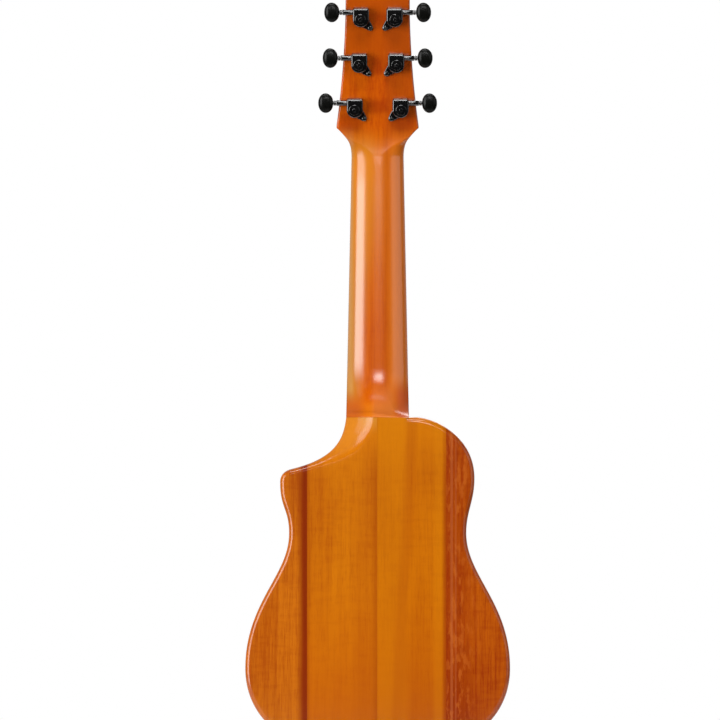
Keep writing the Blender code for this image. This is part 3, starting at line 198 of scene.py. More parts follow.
# Places below are in metres: x across, with the bass side positive, y from the front, back negative,
# and z up from the nut, so that the body lies between -0.240 and -0.537.
def wing_treble_shade(place, x, y, z):
    """Brown wing with one wandering dark streak along its seam."""
    wood = grain(place, (0.485, 0.128, 0.004), (0.325, 0.060, 0.002), 0.5, 1.0, 1.7)
    wander = (place.noise(9, 2, 0.5, (0.2, 0.2, 1.0)) - 0.5) * 0.0022
    streak = (x + wander).within(-0.0712, -0.0632)
    return stained(wood, (streak * 0.97, (0.190, 0.017, 0.001)))


def core_treble_shade(place, x, y, z):
    """Pale core: painted shade towards the tail and painted light near the neck, darker by both seams, with
    a painted sheen on the cutaway's carved bevel and a painted highlight below the heel.
    """
    wood = grain(place, (0.505, 0.142, 0.002), (0.370, 0.078, 0.0015), 0.35, 1.0, 4.1)
    # lower is painted shade: the core darkens towards the tail.
    lower = 1 - z.within(-0.54, -0.36)
    # carved is a painted sheen: a paler tan over the cutaway's bevel.
    carved = y.within(-0.0449, -0.0425) * z.within(-0.290, -0.245) * (1 - x.within(-0.012, 0.0))
    # upper is painted light: the core brightens near the neck.
    upper = z.within(-0.300, -0.246)
    # A painted highlight: a pale warm patch on the back just below the heel.
    painted_heel_highlight = z.within(-0.256, -0.241) * x.band(-0.006, 0.004, 0.010)
    edge = 1 - x.within(seams[1], -0.0575)
    streak = x.band(-0.0125, 0.003, 0.006) * (1 - z.within(-0.35, -0.26))
    seam = x.within(-0.0085, -0.0008) * (1 - z.within(-0.295, -0.255) * 0.9)
    return stained(
        wood, (lower * 0.8, (0.42, 0.084, 0.001)), (carved * 0.7, (0.38, 0.170, 0.036)),
        (upper * 0.6, (0.58, 0.170, 0.002)), (painted_heel_highlight * 0.5, (0.52, 0.235, 0.034)),
        (edge * 0.55, (0.27, 0.040, 0.001)), (streak * 0.25, (0.36, 0.072, 0.0015)),
        (seam * 0.6, (0.30, 0.050, 0.001)),
    )


def core_bass_shade(place, x, y, z):
    """Pale core: painted shade towards the tail and painted light near the neck, with two light bands, a
    slanting streak and a dark edge.
    """
    wood = grain(place, (0.495, 0.134, 0.001), (0.365, 0.076, 0.001), 0.35, 1.0, 8.3)
    # lower is painted shade: the core darkens towards the tail.
    lower = 1 - z.within(-0.54, -0.34)
    # upper is painted light: the core brightens near the neck.
    upper = z.within(-0.300, -0.246)
    light = x.band(0.010, 0.009, 0.012) + x.band(0.0525, 0.002, 0.004) * 0.8
    wander = z * 0.05 + (place.noise(6, 2, 0.5, (0.2, 0.2, 1.0)) - 0.5) * 0.006
    streak = (x - wander).band(0.042, 0.002, 0.005)
    edge = x.within(0.0545, 0.0590) * (1 - z.within(-0.33, -0.26) * 0.5)
    seam = 1 - x.within(-0.0008, 0.0012)
    return stained(
        wood, (lower * 0.9, (0.385, 0.074, 0.001)), (upper * 0.6, (0.56, 0.165, 0.001)),
        (light * 0.35, (0.55, 0.175, 0.002)), (streak * 0.3, (0.33, 0.055, 0.0015)),
        (edge * 0.8, (0.27, 0.036, 0.001)), (seam * 0.3, (0.30, 0.050, 0.001)),
    )


def wing_bass_shade(place, x, y, z):
    """Dark wing: short light and dark ripples near its seam, where two light lines run, then plain, with
    painted shade darkening it towards the tail.
    """
    wood = grain(place, (0.425, 0.086, 0.002), (0.27, 0.032, 0.001), 0.6, 1.3, 12.9)
    inner = 1 - x.within(0.070, 0.094)
    # lower is painted shade: the wing darkens towards the tail, most near its seam.
    lower = (1 - z.within(-0.54, -0.40)) * (inner * 0.6 + 0.3)
    figure = place.noise(260, 3, 0.6, (1.0, 1.0, 0.30)).within(0.5, 0.64) * inner
    shade = place.noise(240, 3, 0.6, (1.0, 1.0, 0.25)).within(0.52, 0.66) * inner
    lines = x.band(0.0640, 0.0005, 0.0012) + x.band(0.0675, 0.0003, 0.0008) * 0.7
    seam = 1 - x.within(0.0590, 0.0630)
    return stained(
        wood, (inner * 0.55, (0.265, 0.029, 0.001)), (lower, (0.225, 0.022, 0.0005)),
        (figure * 0.55, (0.45, 0.100, 0.010)), (shade * 0.35, (0.20, 0.018, 0.001)),
        (lines * 0.4, (0.42, 0.110, 0.030)), (seam * 0.35, (0.24, 0.022, 0.001)),
    )


def body_gloss(x, y, z):
    """The carved bevel, where the coat was rubbed out, shines less than the rest of the body."""
    carved = y.within(-body_depth, -0.0449) * z.within(-0.300, -0.270) * (1 - x.within(-0.010, 0.0))
    carved = carved * (1 - y.band(-0.0432, 0.0003, 0.0016) * 0.5)
    shoulder = y.within(-body_depth, -0.0440) * z.within(-0.264, -0.246) * x.within(0.022, 0.032)
    return 1 - carved * 0.8 - shoulder * 0.5


wood_wing_treble = varnish("wood_wing_treble", wing_treble_shade, gloss=body_gloss)
wood_core_treble = varnish("wood_core_treble", core_treble_shade, gloss=body_gloss)
wood_core_bass = varnish("wood_core_bass", core_bass_shade, gloss=body_gloss)
wood_wing_bass = varnish("wood_wing_bass", wing_bass_shade, gloss=body_gloss)


def bezier(start, handle_out, handle_in, end, count):
    """Points of a cubic Bezier, (1-t)^3 P0 + 3(1-t)^2 t P1 + 3(1-t) t^2 P2 + t^3 P3, less its last."""
    t = (np.arange(count) / count)[:, None]
    p0, p1, p2, p3 = (np.array(p, dtype=float) for p in (start, handle_out, handle_in, end))
    return (1 - t) ** 3 * p0 + 3 * (1 - t) ** 2 * t * p1 + 3 * (1 - t) * t**2 * p2 + t**3 * p3


def finish_mesh(name, mesh, body, look, replaced=(), angle=38):
    """Links a mesh as a piece: rounded shading, material, body and the nodes it stands for."""
    mesh.shade_smooth()
    mesh.set_sharp_from_angle(angle=math.radians(angle))
    mesh.materials.clear()
    mesh.materials.append(look)
    piece = bpy.data.objects.new(name, mesh)
    bpy.context.scene.collection.objects.link(piece)
    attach(piece, body)
    if replaced:
        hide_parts(*replaced)


def skin(name, rings, capped=True, joined=False):
    """A mesh over rings[i, j]: every ring closes on itself, and the ends are capped or joined."""
    rings = np.asarray(rings, dtype=float)
    rows, columns = rings.shape[:2]
    lower = np.arange(rows if joined else rows - 1)[:, None] * columns
    upper = (lower + columns) % (rows * columns)
    near = np.arange(columns)[None]
    after = (near + 1) % columns
    quads = np.stack([lower + near, lower + after, upper + after, upper + near], axis=2)
    faces = quads.reshape(-1, 4).tolist()
    if capped and not joined:
        faces.append(list(range(columns))[::-1])
        faces.append(list(range((rows - 1) * columns, rows * columns)))
    mesh = bpy.data.meshes.new(name)
    mesh.from_pydata(rings.reshape(-1, 3), [], faces)
    shape = bmesh.new()
    shape.from_mesh(mesh)
    bmesh.ops.remove_doubles(shape, verts=shape.verts, dist=1e-6)
    bmesh.ops.dissolve_degenerate(shape, edges=shape.edges, dist=1e-6)
    bmesh.ops.recalc_face_normals(shape, faces=shape.faces)
    shape.to_mesh(mesh)
    shape.free()
    return mesh


def sawn(name, whole, left, right):
    """The part of a closed mesh between two planes across X, its cut faces filled."""
    shape = bmesh.new()
    shape.from_mesh(whole)
    for x, outward in ((left, -1), (right, 1)):
        parts = shape.verts[:] + shape.edges[:] + shape.faces[:]
        cut = bmesh.ops.bisect_plane(
            shape, geom=parts, plane_co=(x, 0, 0), plane_no=(outward, 0, 0), clear_outer=True,
        )
        rim = [part for part in cut["geom_cut"] if isinstance(part, bmesh.types.BMEdge)]
        if rim:
            bmesh.ops.holes_fill(shape, edges=rim, sides=0)
    bmesh.ops.recalc_face_normals(shape, faces=shape.faces)
    mesh = bpy.data.meshes.new(name)
    shape.to_mesh(mesh)
    shape.free()
    return mesh


# The outline, as Beziers laid down from the neck's joint: over the bass shoulder, in at the waist,
# round the lower bout and tail, and up the treble side to the horn and the cutaway.
lower_half, waist_half = 0.1146, 0.0767
lower_down, waist_down = 0.2171, 0.1
upper_bass, upper_treble = (0.0838, 0.0528), (-0.0844, 0.0571)
lower_bout, waist = (lower_half, lower_down), (waist_half, waist_down)
flank = bezier(waist, (waist_half, 0.1374), (lower_half, 0.1599), lower_bout, 70)
tail = bezier(lower_bout, (lower_half, 0.2721), (0.059, body_length), (0, body_length), 90)
below = np.vstack([flank, tail])
horn = np.array((-0.0746, 0.045))
lean = np.array((0.9721, -0.2344))
cutaway = bezier(horn, horn + lean * 0.0406, (-joint_half - 0.0022, 0.0179), (-joint_half, 0), 90)
down = np.vstack([
    [(-joint_half, 0), (joint_half, 0), (joint_half, 0)],
    bezier((0.0347, 0), (0.0549, 0.002), (upper_bass[0], 0.0191), upper_bass, 70),
    bezier(upper_bass, (upper_bass[0], 0.0723), (waist_half, 0.0812), waist, 40),
    below,
    (np.vstack([below, [(0, body_length)]])[::-1] * (-1, 1))[:-1],
    bezier((-waist_half, waist_down), (-waist_half, 0.0796), (upper_treble[0], 0.0781), upper_treble, 40),
    bezier(upper_treble, (upper_treble[0], 0.0547), horn - lean * 0.0109, horn, 40),
    cutaway,
])
outline = down * (1, -1) + (0, joint_z)
ahead = np.roll(outline, -1, axis=0) - np.roll(outline, 1, axis=0)
ahead /= np.linalg.norm(ahead, axis=1)[:, None]
inward = np.stack([ahead[:, 1], -ahead[:, 0]], axis=1)
inward[:4] = ((1, 0), (-1, 0), (-1, -1), (0, -1))

# The back edge: a small round everywhere, which swells over the cutaway into the carved bevel.
edge_round = 0.0043
bevel_width, bevel_height, bevel_slope = 0.02, 0.0157, 0.45
bevel = np.zeros(len(outline))
bevel[-len(cutaway):] = 0.5 + 0.5 * np.cos(math.pi * np.linspace(1, 0, len(cutaway) + 1)[:-1] ** 0.9)
bevel[0] = 1
edge_width = edge_round + bevel_width * bevel
edge_height = edge_round + bevel_height * bevel
chamfer = np.clip(bevel, 0, 1) * bevel_slope


def at_depth(flat, y):
    """Flat points (x, z) placed at y, which is one value or a value for each point."""
    return np.column_stack([flat[:, 0], np.broadcast_to(y, len(flat)), flat[:, 1]])


def body_shell():
    """The tub's surface: ring k lies a share of the rounded edge in from the outline.

    On the edge, in = width * (1 - cos a) and depth = 45 mm - height * drop, for a from 0 on the side
    to 90 degrees on the back. The drop is that of an ellipse, 1 - sin a, which the cutaway's carved
    bevel blends with a plain slope, cos a. The last ring goes 3 mm further over the flat back.
    """
    inner = outline + inward * (side_thickness + 0.5 * (edge_width - edge_round))[:, None]
    inner[:, 1] = np.clip(inner[:, 1], tail_z + tail_block, joint_z - neck_block)
    floor_depth, mid_side = body_depth - back_thickness, 0.022
    levels = ((inner, floor_depth), (inner, top_rebate), (outline, top_rebate), (outline, mid_side))
    rings = [at_depth(ring, -depth) for ring, depth in levels]
    for angle in np.linspace(0, math.pi / 2, 19):
        ring = outline + inward * (edge_width * (1 - math.cos(angle)))[:, None]
        drop = (1 - chamfer) * (1 - math.sin(angle)) + chamfer * math.cos(angle)
        rings.append(at_depth(ring, edge_height * drop - body_depth))
    flat = outline + inward * (edge_width + 0.003)[:, None]
    flat[:4] = ring[:4]
    rings.append(at_depth(flat, -body_depth))
    return skin("body_shell", rings)


shell = body_shell()
seam_gap = 0.000002
planks = (
    ("wing_treble", wood_wing_treble, "wing_wood"), ("core_treble", wood_core_treble, "core_wood"),
    ("core_bass", wood_core_bass, "core_wood"), ("wing_bass", wood_wing_bass, "wing_wood"),
)
for (plank, look, slot), left, right in zip(planks, seams[:-1], seams[1:]):
    name = f"varnished_{plank}"
    mesh = sawn(name, shell, left + seam_gap, right - seam_gap)
    finish_mesh(name, mesh, "instrument", look, (f"body_{plank}",))


# Neck. One piece of wood from the heel's flat foot, flush with the back, through the hollow of the
# heel and the round shaft into the flared headstock, which tilts back by 12 degrees. It is carved,
# glued into the body with a tenon, and varnished with it.
def neck_shade(place, x, y, z):
    """Red-brown shaft, with painted light on its treble side and a painted sheen on its bass side; a heel
    with brighter and redder patches, painted highlights on its treble edge and in its hollow and painted
    shade on its bass flank; and a darker headstock with painted shadows round the tuning machines."""
    wood = grain(place, (0.51, 0.092, 0.001), (0.39, 0.056, 0.001), 0.5, 0.6, 21.3)
    drift = (place.noise(16, 3, 0.6, (1.0, 1.0, 0.4)) - 0.5) * 0.010
    # Painted light: the treble side of the shaft is paler and yellower.
    painted_light_treble_side = 1 - (x + drift - z.within(-0.20, -0.02) * 0.012).within(-0.022, -0.008)
    upper = z.within(-0.17, -0.03) * (1 - x.within(0.000, 0.014))
    # outer is a painted highlight: pale tan on the heel's treble edge.
    outer = z.within(-0.232, -0.212) * (1 - x.within(-0.0235, -0.0190))
    # A painted sheen: brighter orange along the bass side of the shaft.
    painted_sheen_bass_side = x.within(0.006, 0.014)
    heel = (1 - z.within(-0.233, -0.222)) * x.within(-0.020, -0.006)
    under = (1 - z.within(-0.232, -0.215)) * (1 - x.within(-0.020, -0.008))
    # In the heel's hollow, middle is a painted highlight, pale cream, and flank is painted shade, dark red
    # on the bass side.
    root = 1 - z.within(-0.222, -0.206)
    middle, flank = root * x.band(0.005, 0.006, 0.006), root * x.within(0.011, 0.021)
    wood = stained(
        wood, (painted_light_treble_side * 0.8, (0.43, 0.165, 0.020)), (upper * 0.5, (0.62, 0.180, 0.003)),
        (outer * 0.8, (0.46, 0.220, 0.060)), (painted_sheen_bass_side * 0.8, (0.67, 0.168, 0.010)),
        (heel * 0.8, (0.58, 0.150, 0.006)), (under * 0.8, (0.42, 0.072, 0.008)),
        (middle * 0.6, (0.56, 0.150, 0.034)), (flank * 0.6, (0.50, 0.075, 0.036)),
    )
    deep = grain(place, (0.56, 0.100, 0.001), (0.40, 0.048, 0.001), 0.55, 0.5, 33.0)
    high = z.within(0.055, 0.085)
    laminate = x.within(0.0062, 0.0074)
    # rows, between and ears are painted shadows: dark patches between each pair of tuning machines and
    # below the lowest lugs.
    rows = z.band(0.030, 0.003, 0.006) + z.band(0.065, 0.004, 0.007) + z.band(0.104, 0.003, 0.006)
    between = rows * x.band(0.001, 0.006, 0.008) * place.noise(70, 2).within(0.30, 0.55)
    ears = z.band(0.015, 0.004, 0.006) * x.math("ABSOLUTE").band(0.023, 0.005, 0.007)
    deep = stained(
        deep, (high * 0.8, (0.38, 0.058, 0.001)), (laminate * 0.45, (0.40, 0.060, 0.001)),
        ((between + ears) * 0.55, (0.30, 0.028, 0.001)),
    )
    return z.within(-0.012, 0.016).blend(wood, deep)


def neck_gloss(x, y, z):
    """The hollow of the heel, rubbed out by hand, shines less than the shaft, and its crest more."""
    hollow = 1 - z.within(-0.219, -0.202)
    fading = (1 - z.within(-0.212, -0.190)) * (1 - x.within(-0.012, -0.005))
    crest = (1 - z.within(-0.2300, -0.2265)) * x.within(0.003, 0.012)
    neck_top = z.within(-0.045, -0.020) * (1 - x.within(0.002, 0.010))
    return 1 - hollow.math("MAXIMUM", fading) * 0.93 + crest * 0.24 - neck_top * 0.4


wood_neck = varnish("wood_neck", neck_shade, 0.20, neck_gloss, 1.65)

head_tilt = math.radians(12)
bend_from, bend_reach = 0.005, 0.014
shaft_from, shaft_to = -0.197, -0.014
nut_half = 0.0224
depth_at_heel, depth_at_nut, headstock_depth = 0.0168, 0.0145, 0.014
headstock_edge = 0.0015
flat_side, corner_share = 0.0022, 0.97
crest_drop = 0.85


def step(value, start, end):
    """0 before start, 1 past end, s*s*(3 - 2s) between."""
    share = np.clip((value - start) / (end - start), 0, 1)
    return share * share * (3 - 2 * share)


def neck_half(z):
    """Half the neck's width, which grows evenly from the nut to the body."""
    return nut_half + (joint_half - nut_half) * z / joint_z


def neck_section(u, half, depth, treble, bass, slope=0.0):
    """A section at u: flat front, straight sides and a quarter of an ellipse at each back corner.

    On the treble side slope blends the ellipse with the plain slope of the body's bevel. Past the
    bend the section moves along the tilted headstock, and it turns with it over the bend.
    """
    beyond = max(0.0, u - bend_from)
    down, up = -beyond * math.sin(head_tilt), min(u, bend_from) + beyond * math.cos(head_tilt)
    turned_by = head_tilt * float(step(u, -0.008, 0.009))
    into = np.array((0, -math.cos(turned_by), -math.sin(turned_by)))
    a = np.linspace(0, math.pi / 2, 22)
    drop = (1 - slope) * (1 - np.sin(a)) + slope * np.cos(a)
    left = np.stack([-half + treble[0] * (1 - np.cos(a)), depth - treble[1] * drop], axis=1)
    right = np.stack([half - bass[0] * (1 - np.cos(a)), depth - bass[1] * (1 - np.sin(a))], axis=1)[::-1]
    flat = np.vstack([[(-half, 0)], left, right, [(half, 0)]])
    return np.array((0, down, up)) + flat[:, 1:] * into + flat[:, :1] * np.array((1, 0, 0))


def headstock_half():
    """The headstock's outline as (half width, height): flare, straight taper and rounded end."""
    start = neck_half(shaft_to)
    ears, shoulder = (0.0357, 0.014), (0.0278, 0.1266)
    tip, tip_round = 0.1512, 0.004
    flare = bezier((start, shaft_to), (start, 0), (0.028, 0.0072), ears, 40)
    taper = bezier(ears, (0.0308, 0.05), (shoulder[0], 0.09), shoulder, 40)
    a = np.linspace(0, math.radians(80), 14)
    end = np.stack([shoulder[0] * (1 - 0.5 * (1 - np.cos(a))), tip + tip_round * (np.sin(a) - 1)], axis=1)
    return np.vstack([flare, taper, [shoulder], end])


def neck_rings():
    """Sections from the heel's foot to the headstock's tip.

    The heel deepens along two Beziers, a hollow and a crest over its foot, and the crest sinks
    towards the bass side. Over the bend the back gains a fillet, tilt * w^2 / 4r, w within its reach r.
    """
    rings = []
    foot = joint_z + 0.0001
    crest = joint_z + 0.0052
    shaft_end, crest_low = (shaft_from, depth_at_heel), (crest, 0.0382)
    hollow = bezier(shaft_end, (-0.214, 0.0172), (crest + 0.006, 0.023), crest_low, 50)
    heel_foot = (foot, body_depth)
    nose = bezier(crest_low, (crest - 0.0011, 0.0423), (crest - 0.0026, body_depth), heel_foot, 24)
    for z, depth in np.vstack([hollow, nose, [heel_foot]])[::-1]:
        half = neck_half(z)
        treble_share = 1 - float(step(z, foot, joint_z + 0.024))
        bass_share = 1 - float(step(z, joint_z - 0.012, joint_z + 0.040))
        wide, high = corner_share * half, depth - flat_side
        treble = (
            wide + (edge_round + bevel_width - wide) * treble_share,
            high + (edge_round + bevel_height - high) * treble_share,
        )
        bass = (wide + (edge_round - wide) * bass_share, high + (edge_round - high) * bass_share)
        ring = neck_section(z, half, depth, treble, bass, bevel_slope * treble_share)
        sunk = step(ring[:, 0], 0.0, half) * (1 - float(step(z, crest, crest + 0.030)))
        ring[:, 2] -= crest_drop * (z - joint_z) * sunk
        rings.append(ring)
    for z in np.linspace(shaft_from, shaft_to, 40)[1:-1]:
        depth = depth_at_heel + (depth_at_nut - depth_at_heel) * (1 - z / shaft_from)
        corner = (corner_share * neck_half(z), depth - flat_side)
        rings.append(neck_section(z, neck_half(z), depth, corner, corner))
    for half, u in headstock_half():
        flat = float(step(u, -0.018, 0.009))
        fillet = head_tilt * max(0.0, bend_reach - abs(u - bend_from)) ** 2 / (4 * bend_reach)
        depth = depth_at_nut + (headstock_depth - depth_at_nut) * flat + fillet
        wide, high = corner_share * half, depth - flat_side
        corner = (wide + (headstock_edge - wide) * flat, high + (headstock_edge - high) * flat)
        rings.append(neck_section(u, half, depth, corner, corner))
    return rings


finish_mesh("varnished_neck", skin("neck", neck_rings()), "instrument", wood_neck, ("neck",))


# Tuning machines. Six small worm gears in closed black cases, screwed to the headstock's back, each
# with a steel key shaft through a sleeve, an oval plastic button, a steel post and a front bushing.
case_outline = ((-0.0059, 0.00775, 0.0016), (0.0050, 0.00775, 0.0016), (-0.00045, -0.0002, 0.00705))
lug_outline = ((-0.0012, -0.0015, 0.0058), (-0.0086, -0.0086, 0.0025))
cover_outline, pin_outline = ((0, 0, 0.0046),), ((0, 0, 0.0016),)
screw_at = np.array((-0.0086, -0.0086, 0.0))
key_along, key_out = 0.0055, 0.004
head_along = np.array((0, -math.sin(head_tilt), math.cos(head_tilt)))
head_out = np.array((0, -math.cos(head_tilt), -math.sin(head_tilt)))
machine_rows = ((0.0203, 0.0264), (0.0164, 0.0660), (0.015, 0.1061))
machine_seats = []
for row, (x, s) in enumerate(machine_rows):
    for number, side in ((1 + row, -1), (6 - row, 1)):
        seat = np.array((side * x, 0, bend_from)) + head_along * s + head_out * headstock_depth
        machine_seats.append((number, side, seat))


def slab(discs, levels, count=96):
    """A plate: for each (height, inset) level a ring round the discs (x, y, r), which in each
    direction is the point of them furthest out, less the inset."""
    x, y, r = np.array(discs, dtype=float).T
    angle = np.arange(count) / count * math.tau
    way = np.stack([np.cos(angle), np.sin(angle)], axis=1)
    furthest = np.argmax(way[:, :1] * x + way[:, 1:] * y + r, axis=1)
    rings = []
    for height, inset in levels:
        ring = np.stack([x, y], axis=1)[furthest] + way * (r[furthest] - inset)[:, None]
        rings.append(np.column_stack([ring, np.full(count, height)]))
    return rings


def rounded(low, high, radius):
    """Levels of a plate whose upper edge is a quarter circle."""
    a = np.linspace(0, math.pi / 2, 6)
    top = np.stack([high - radius + radius * np.sin(a), radius * (1 - np.cos(a))], axis=1)
    return [(low, 0.0), *map(tuple, top)]


def turned(profile, count):
    """Rings about the Z axis: radius r at height p, for each (r, p) of the profile."""
    angle = np.arange(count) / count * math.tau
    r, p = np.array(profile, dtype=float).T
    height = np.repeat(p[:, None], count, axis=1)
    return np.stack([r[:, None] * np.cos(angle), r[:, None] * np.sin(angle), height], axis=2)


def turned_on_key(profile, count):
    """The same rings about the key's axis, which lies across the headstock."""
    rings = turned(profile, count)
    return np.stack([rings[..., 2], key_along - rings[..., 0], key_out - rings[..., 1]], axis=2)


def one_mesh(name, shells):
    """Several closed skins in one mesh."""
    together = bmesh.new()
    for rings in shells:
        part = skin(name, rings)
        together.from_mesh(part)
        bpy.data.meshes.remove(part)
    mesh = bpy.data.meshes.new(name)
    together.to_mesh(mesh)
    together.free()
    return mesh


def on_headstock(local, seat):
    """Points (across, along, out) from a machine's seat, placed on the headstock's back."""
    across = seat + local[..., :1] * np.array((1, 0, 0))
    return across + local[..., 1:2] * head_along + local[..., 2:] * head_out


def key_shaft_rings():
    """The shaft with its worm: radius 1.82 mm + 0.52 mm * clip(2 cos(2 pi x / pitch - a)) on the worm,
    whose pitch is that of a 14-tooth wheel of 3.6 mm radius."""
    shaft, worm_half = 0.00115, 0.0031
    wheel_radius, wheel_teeth = 0.0036, 14
    worm = np.linspace(-worm_half, worm_half, 60)
    angle = np.arange(32) / 32 * math.tau
    pitch = math.tau * wheel_radius / wheel_teeth
    wave = np.clip(2 * np.cos(math.tau * worm[:, None] / pitch - angle), -1, 1)
    radius = 0.00182 + 0.00052 * wave
    along, out = key_along - radius * np.cos(angle), key_out - radius * np.sin(angle)
    rings = np.stack([np.repeat(worm[:, None], 32, axis=1), along, out], axis=2)
    start = turned_on_key([(shaft, -0.005), (shaft, -worm_half)], 32)
    end = turned_on_key([
        (shaft, worm_half), (shaft, 0.0158), (0.0019, 0.0158), (0.0022, 0.0161), (0.0022, 0.0167),
        (0.00195, 0.0169), (0.0022, 0.0171), (0.0022, 0.0176), (0.0019, 0.0179), (shaft, 0.0179),
        (shaft, 0.0238),
    ], 32)
    return np.concatenate([start, rings, end])


def button_rings():
    """The oval button: rings across x = middle - w cos t, flattened ellipses of size sin t, on a boss."""
    t = np.linspace(0.35, math.pi, 40)
    middle, half_thick, half_long, half_wide = 0.0247, 0.00655, 0.00865, 0.0035
    size = np.sin(t) ** 0.92
    angle = np.arange(56) / 56 * math.tau
    y = np.cos(angle)
    z = np.sign(np.sin(angle)) * np.abs(np.sin(angle)) ** 0.85
    body = np.stack([
        np.repeat((middle - half_thick * np.cos(t))[:, None], 56, axis=1),
        key_along + half_long * size[:, None] * y,
        key_out + half_wide * np.minimum(size[:, None] * 1.12, 1.0) * z,
    ], axis=2)
    boss_x = np.array((0.0182, 0.0182, 0.0185))[:, None]
    boss_r = np.array((0.0014, 0.0022, 0.0024))[:, None]
    boss = np.stack([
        np.repeat(boss_x, 56, axis=1), key_along + boss_r * y, key_out + boss_r * np.sin(angle),
    ], axis=2)
    return np.concatenate([boss, body])


def screw_rings():
    """A round-headed cross screw: dome less a cross-shaped recess that fades towards the rim."""
    angle = np.arange(64) / 64 * math.tau
    head_radius, shank_radius, seat_height = 0.0019, 0.0009, 0.0021
    rim_height, dome_rise = 0.0022, 0.001
    slot_half, slot_depth = 0.00032, 0.0006
    share = np.linspace(1.0, 0.02, 16)[:, None]
    x = head_radius * share * np.cos(angle)
    y = head_radius * share * np.sin(angle)
    cross = np.maximum(1 - (np.minimum(np.abs(x), np.abs(y)) / slot_half) ** 4, 0)
    deep = slot_depth * cross * (1 - step(np.repeat(share, 64, axis=1), 0.45, 0.72))
    dome = np.stack([x, y, rim_height + dome_rise * np.sqrt(1 - 0.75 * share**2) - deep], axis=2)
    shank = turned([(shank_radius, -0.008), (shank_radius, seat_height), (head_radius, seat_height)], 64)
    return np.concatenate([shank, dome]) + screw_at


def enamel():
    """Black plated metal: nearly black, glossy, with faint wear that changes the gloss."""
    made, place, link = material(
        "black_enamel", 0.3, coat=1.0, coat_roughness=0.14, Coat_IOR=1.85, Specular_IOR_Level=0.1,
    )
    tone = place.noise(260, 3)
    link(Base_Color=tone.blend((0.0008, 0.0008, 0.0010), (0.0025, 0.0025, 0.0025)))
    link(Roughness=place.noise(900, 3) * 0.12 + 0.26)
    link(Normal=place.noise(1200, 2).bump(0.08, 0.0003))
    return made


def matte_plastic():
    """Black moulded plastic of the buttons: satin, with the faint grain of the mould."""
    made, place, link = material("black_button_plastic", 0.3, Specular_IOR_Level=0.16)
    link(Base_Color=place.noise(700, 3).blend((0.0015, 0.0017, 0.0012), (0.004, 0.004, 0.0033)))
    link(Roughness=place.noise(500, 2) * 0.12 + 0.24)
    link(Normal=place.noise(2500, 3).bump(0.15, 0.0002))
    return made


def bright_metal(name, colour, dark, roughness):
    """Turned metal: slight tarnish in patches, and a roughness that varies finely."""
    made, place, link = material(name, roughness, metallic=1.0)
    tarnish = place.noise(500, 3).within(0.45, 0.7)
    link(Base_Color=(tarnish * 0.5).blend(colour, dark))
    link(Roughness=place.noise(1800, 3) * 0.18 + roughness)
    return made


def dress(look, *nodes):
    """Gives pieces that are shown as the CAD has them their material."""
    for node in nodes:
        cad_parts[node].data.materials.clear()
        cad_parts[node].data.materials.append(look)


def seated(name, shells, side, seat):
    """Carries skins from a machine's own frame onto the headstock, mirrored on the treble side."""
    mirror = np.array((side, 1, 1))
    return one_mesh(name, [on_headstock(np.asarray(rings) * mirror, seat) for rings in shells])


black_enamel = enamel()
button_plastic = matte_plastic()
steel = bright_metal("polished_steel", (0.50, 0.50, 0.49), (0.30, 0.29, 0.28), 0.20)
black_steel = bright_metal("blackened_steel", (0.15, 0.15, 0.15), (0.08, 0.08, 0.08), 0.2)
brass = bright_metal("gear_brass", (0.75, 0.52, 0.22), (0.48, 0.30, 0.12), 0.3)

# The case itself, its round cover, the cover's pin, the screw's lug, and the key's sleeve.
case_shells = [
    slab(case_outline, rounded(0.0001, 0.008, 0.0013)),
    slab(cover_outline, rounded(0.0072, 0.0086, 0.0004), 64),
    slab(pin_outline, rounded(0.0080, 0.0089, 0.0003), 32),
    slab(lug_outline, rounded(0.0002, 0.0022, 0.0006)),
    turned_on_key([(0.0023, 0.004), (0.00245, 0.0045), (0.00245, 0.0150), (0.0022, 0.0155)], 40),
]
post_profile = [
    (0.0018, 0.0058), (0.0018, 0.0022), (0.003, 0.0021), (0.003, -0.0195), (0.00275, -0.0203),
    (0.00275, -0.0255), (0.003, -0.0262), (0.003, -0.0285), (0.0024, -0.0292),
]
bushing_profile = [
    (0.0033, -0.0083), (0.0043, -0.0083), (0.0043, -0.0156), (0.0055, -0.0156), (0.0055, -0.0161),
    (0.0051, -0.0166), (0.0033, -0.0166), (0.0033, -0.0083),
]
for number, side, seat in machine_seats:
    post, key = f"string_post_{number}", f"key_{number}"
    for name, shells, body, slot, look, node in (
        ("closed_case", case_shells, "instrument", "black_metal", black_enamel, "tuner_case"),
        ("lug_screw", [screw_rings()], "instrument", "black_metal", black_enamel, None),
        ("worm_shaft", [key_shaft_rings()], key, "steel", black_steel, "key_shaft"),
        ("oval_button", [button_rings()], key, "black_plastic", button_plastic, "button"),
        ("turned_post", [turned(post_profile, 48)], post, "steel", steel, "post"),
        ("flanged_bushing", [turned(bushing_profile, 48)], "instrument", "steel", steel, "bushing"),
    ):
        mesh = seated(f"{name}_{number}", shells, side, seat)
        replaced = (f"{node}_{number}",) if node else ()
        finish_mesh(f"{name}_{number}", mesh, body, look, replaced)
    dress(brass, f"gear_{number}")


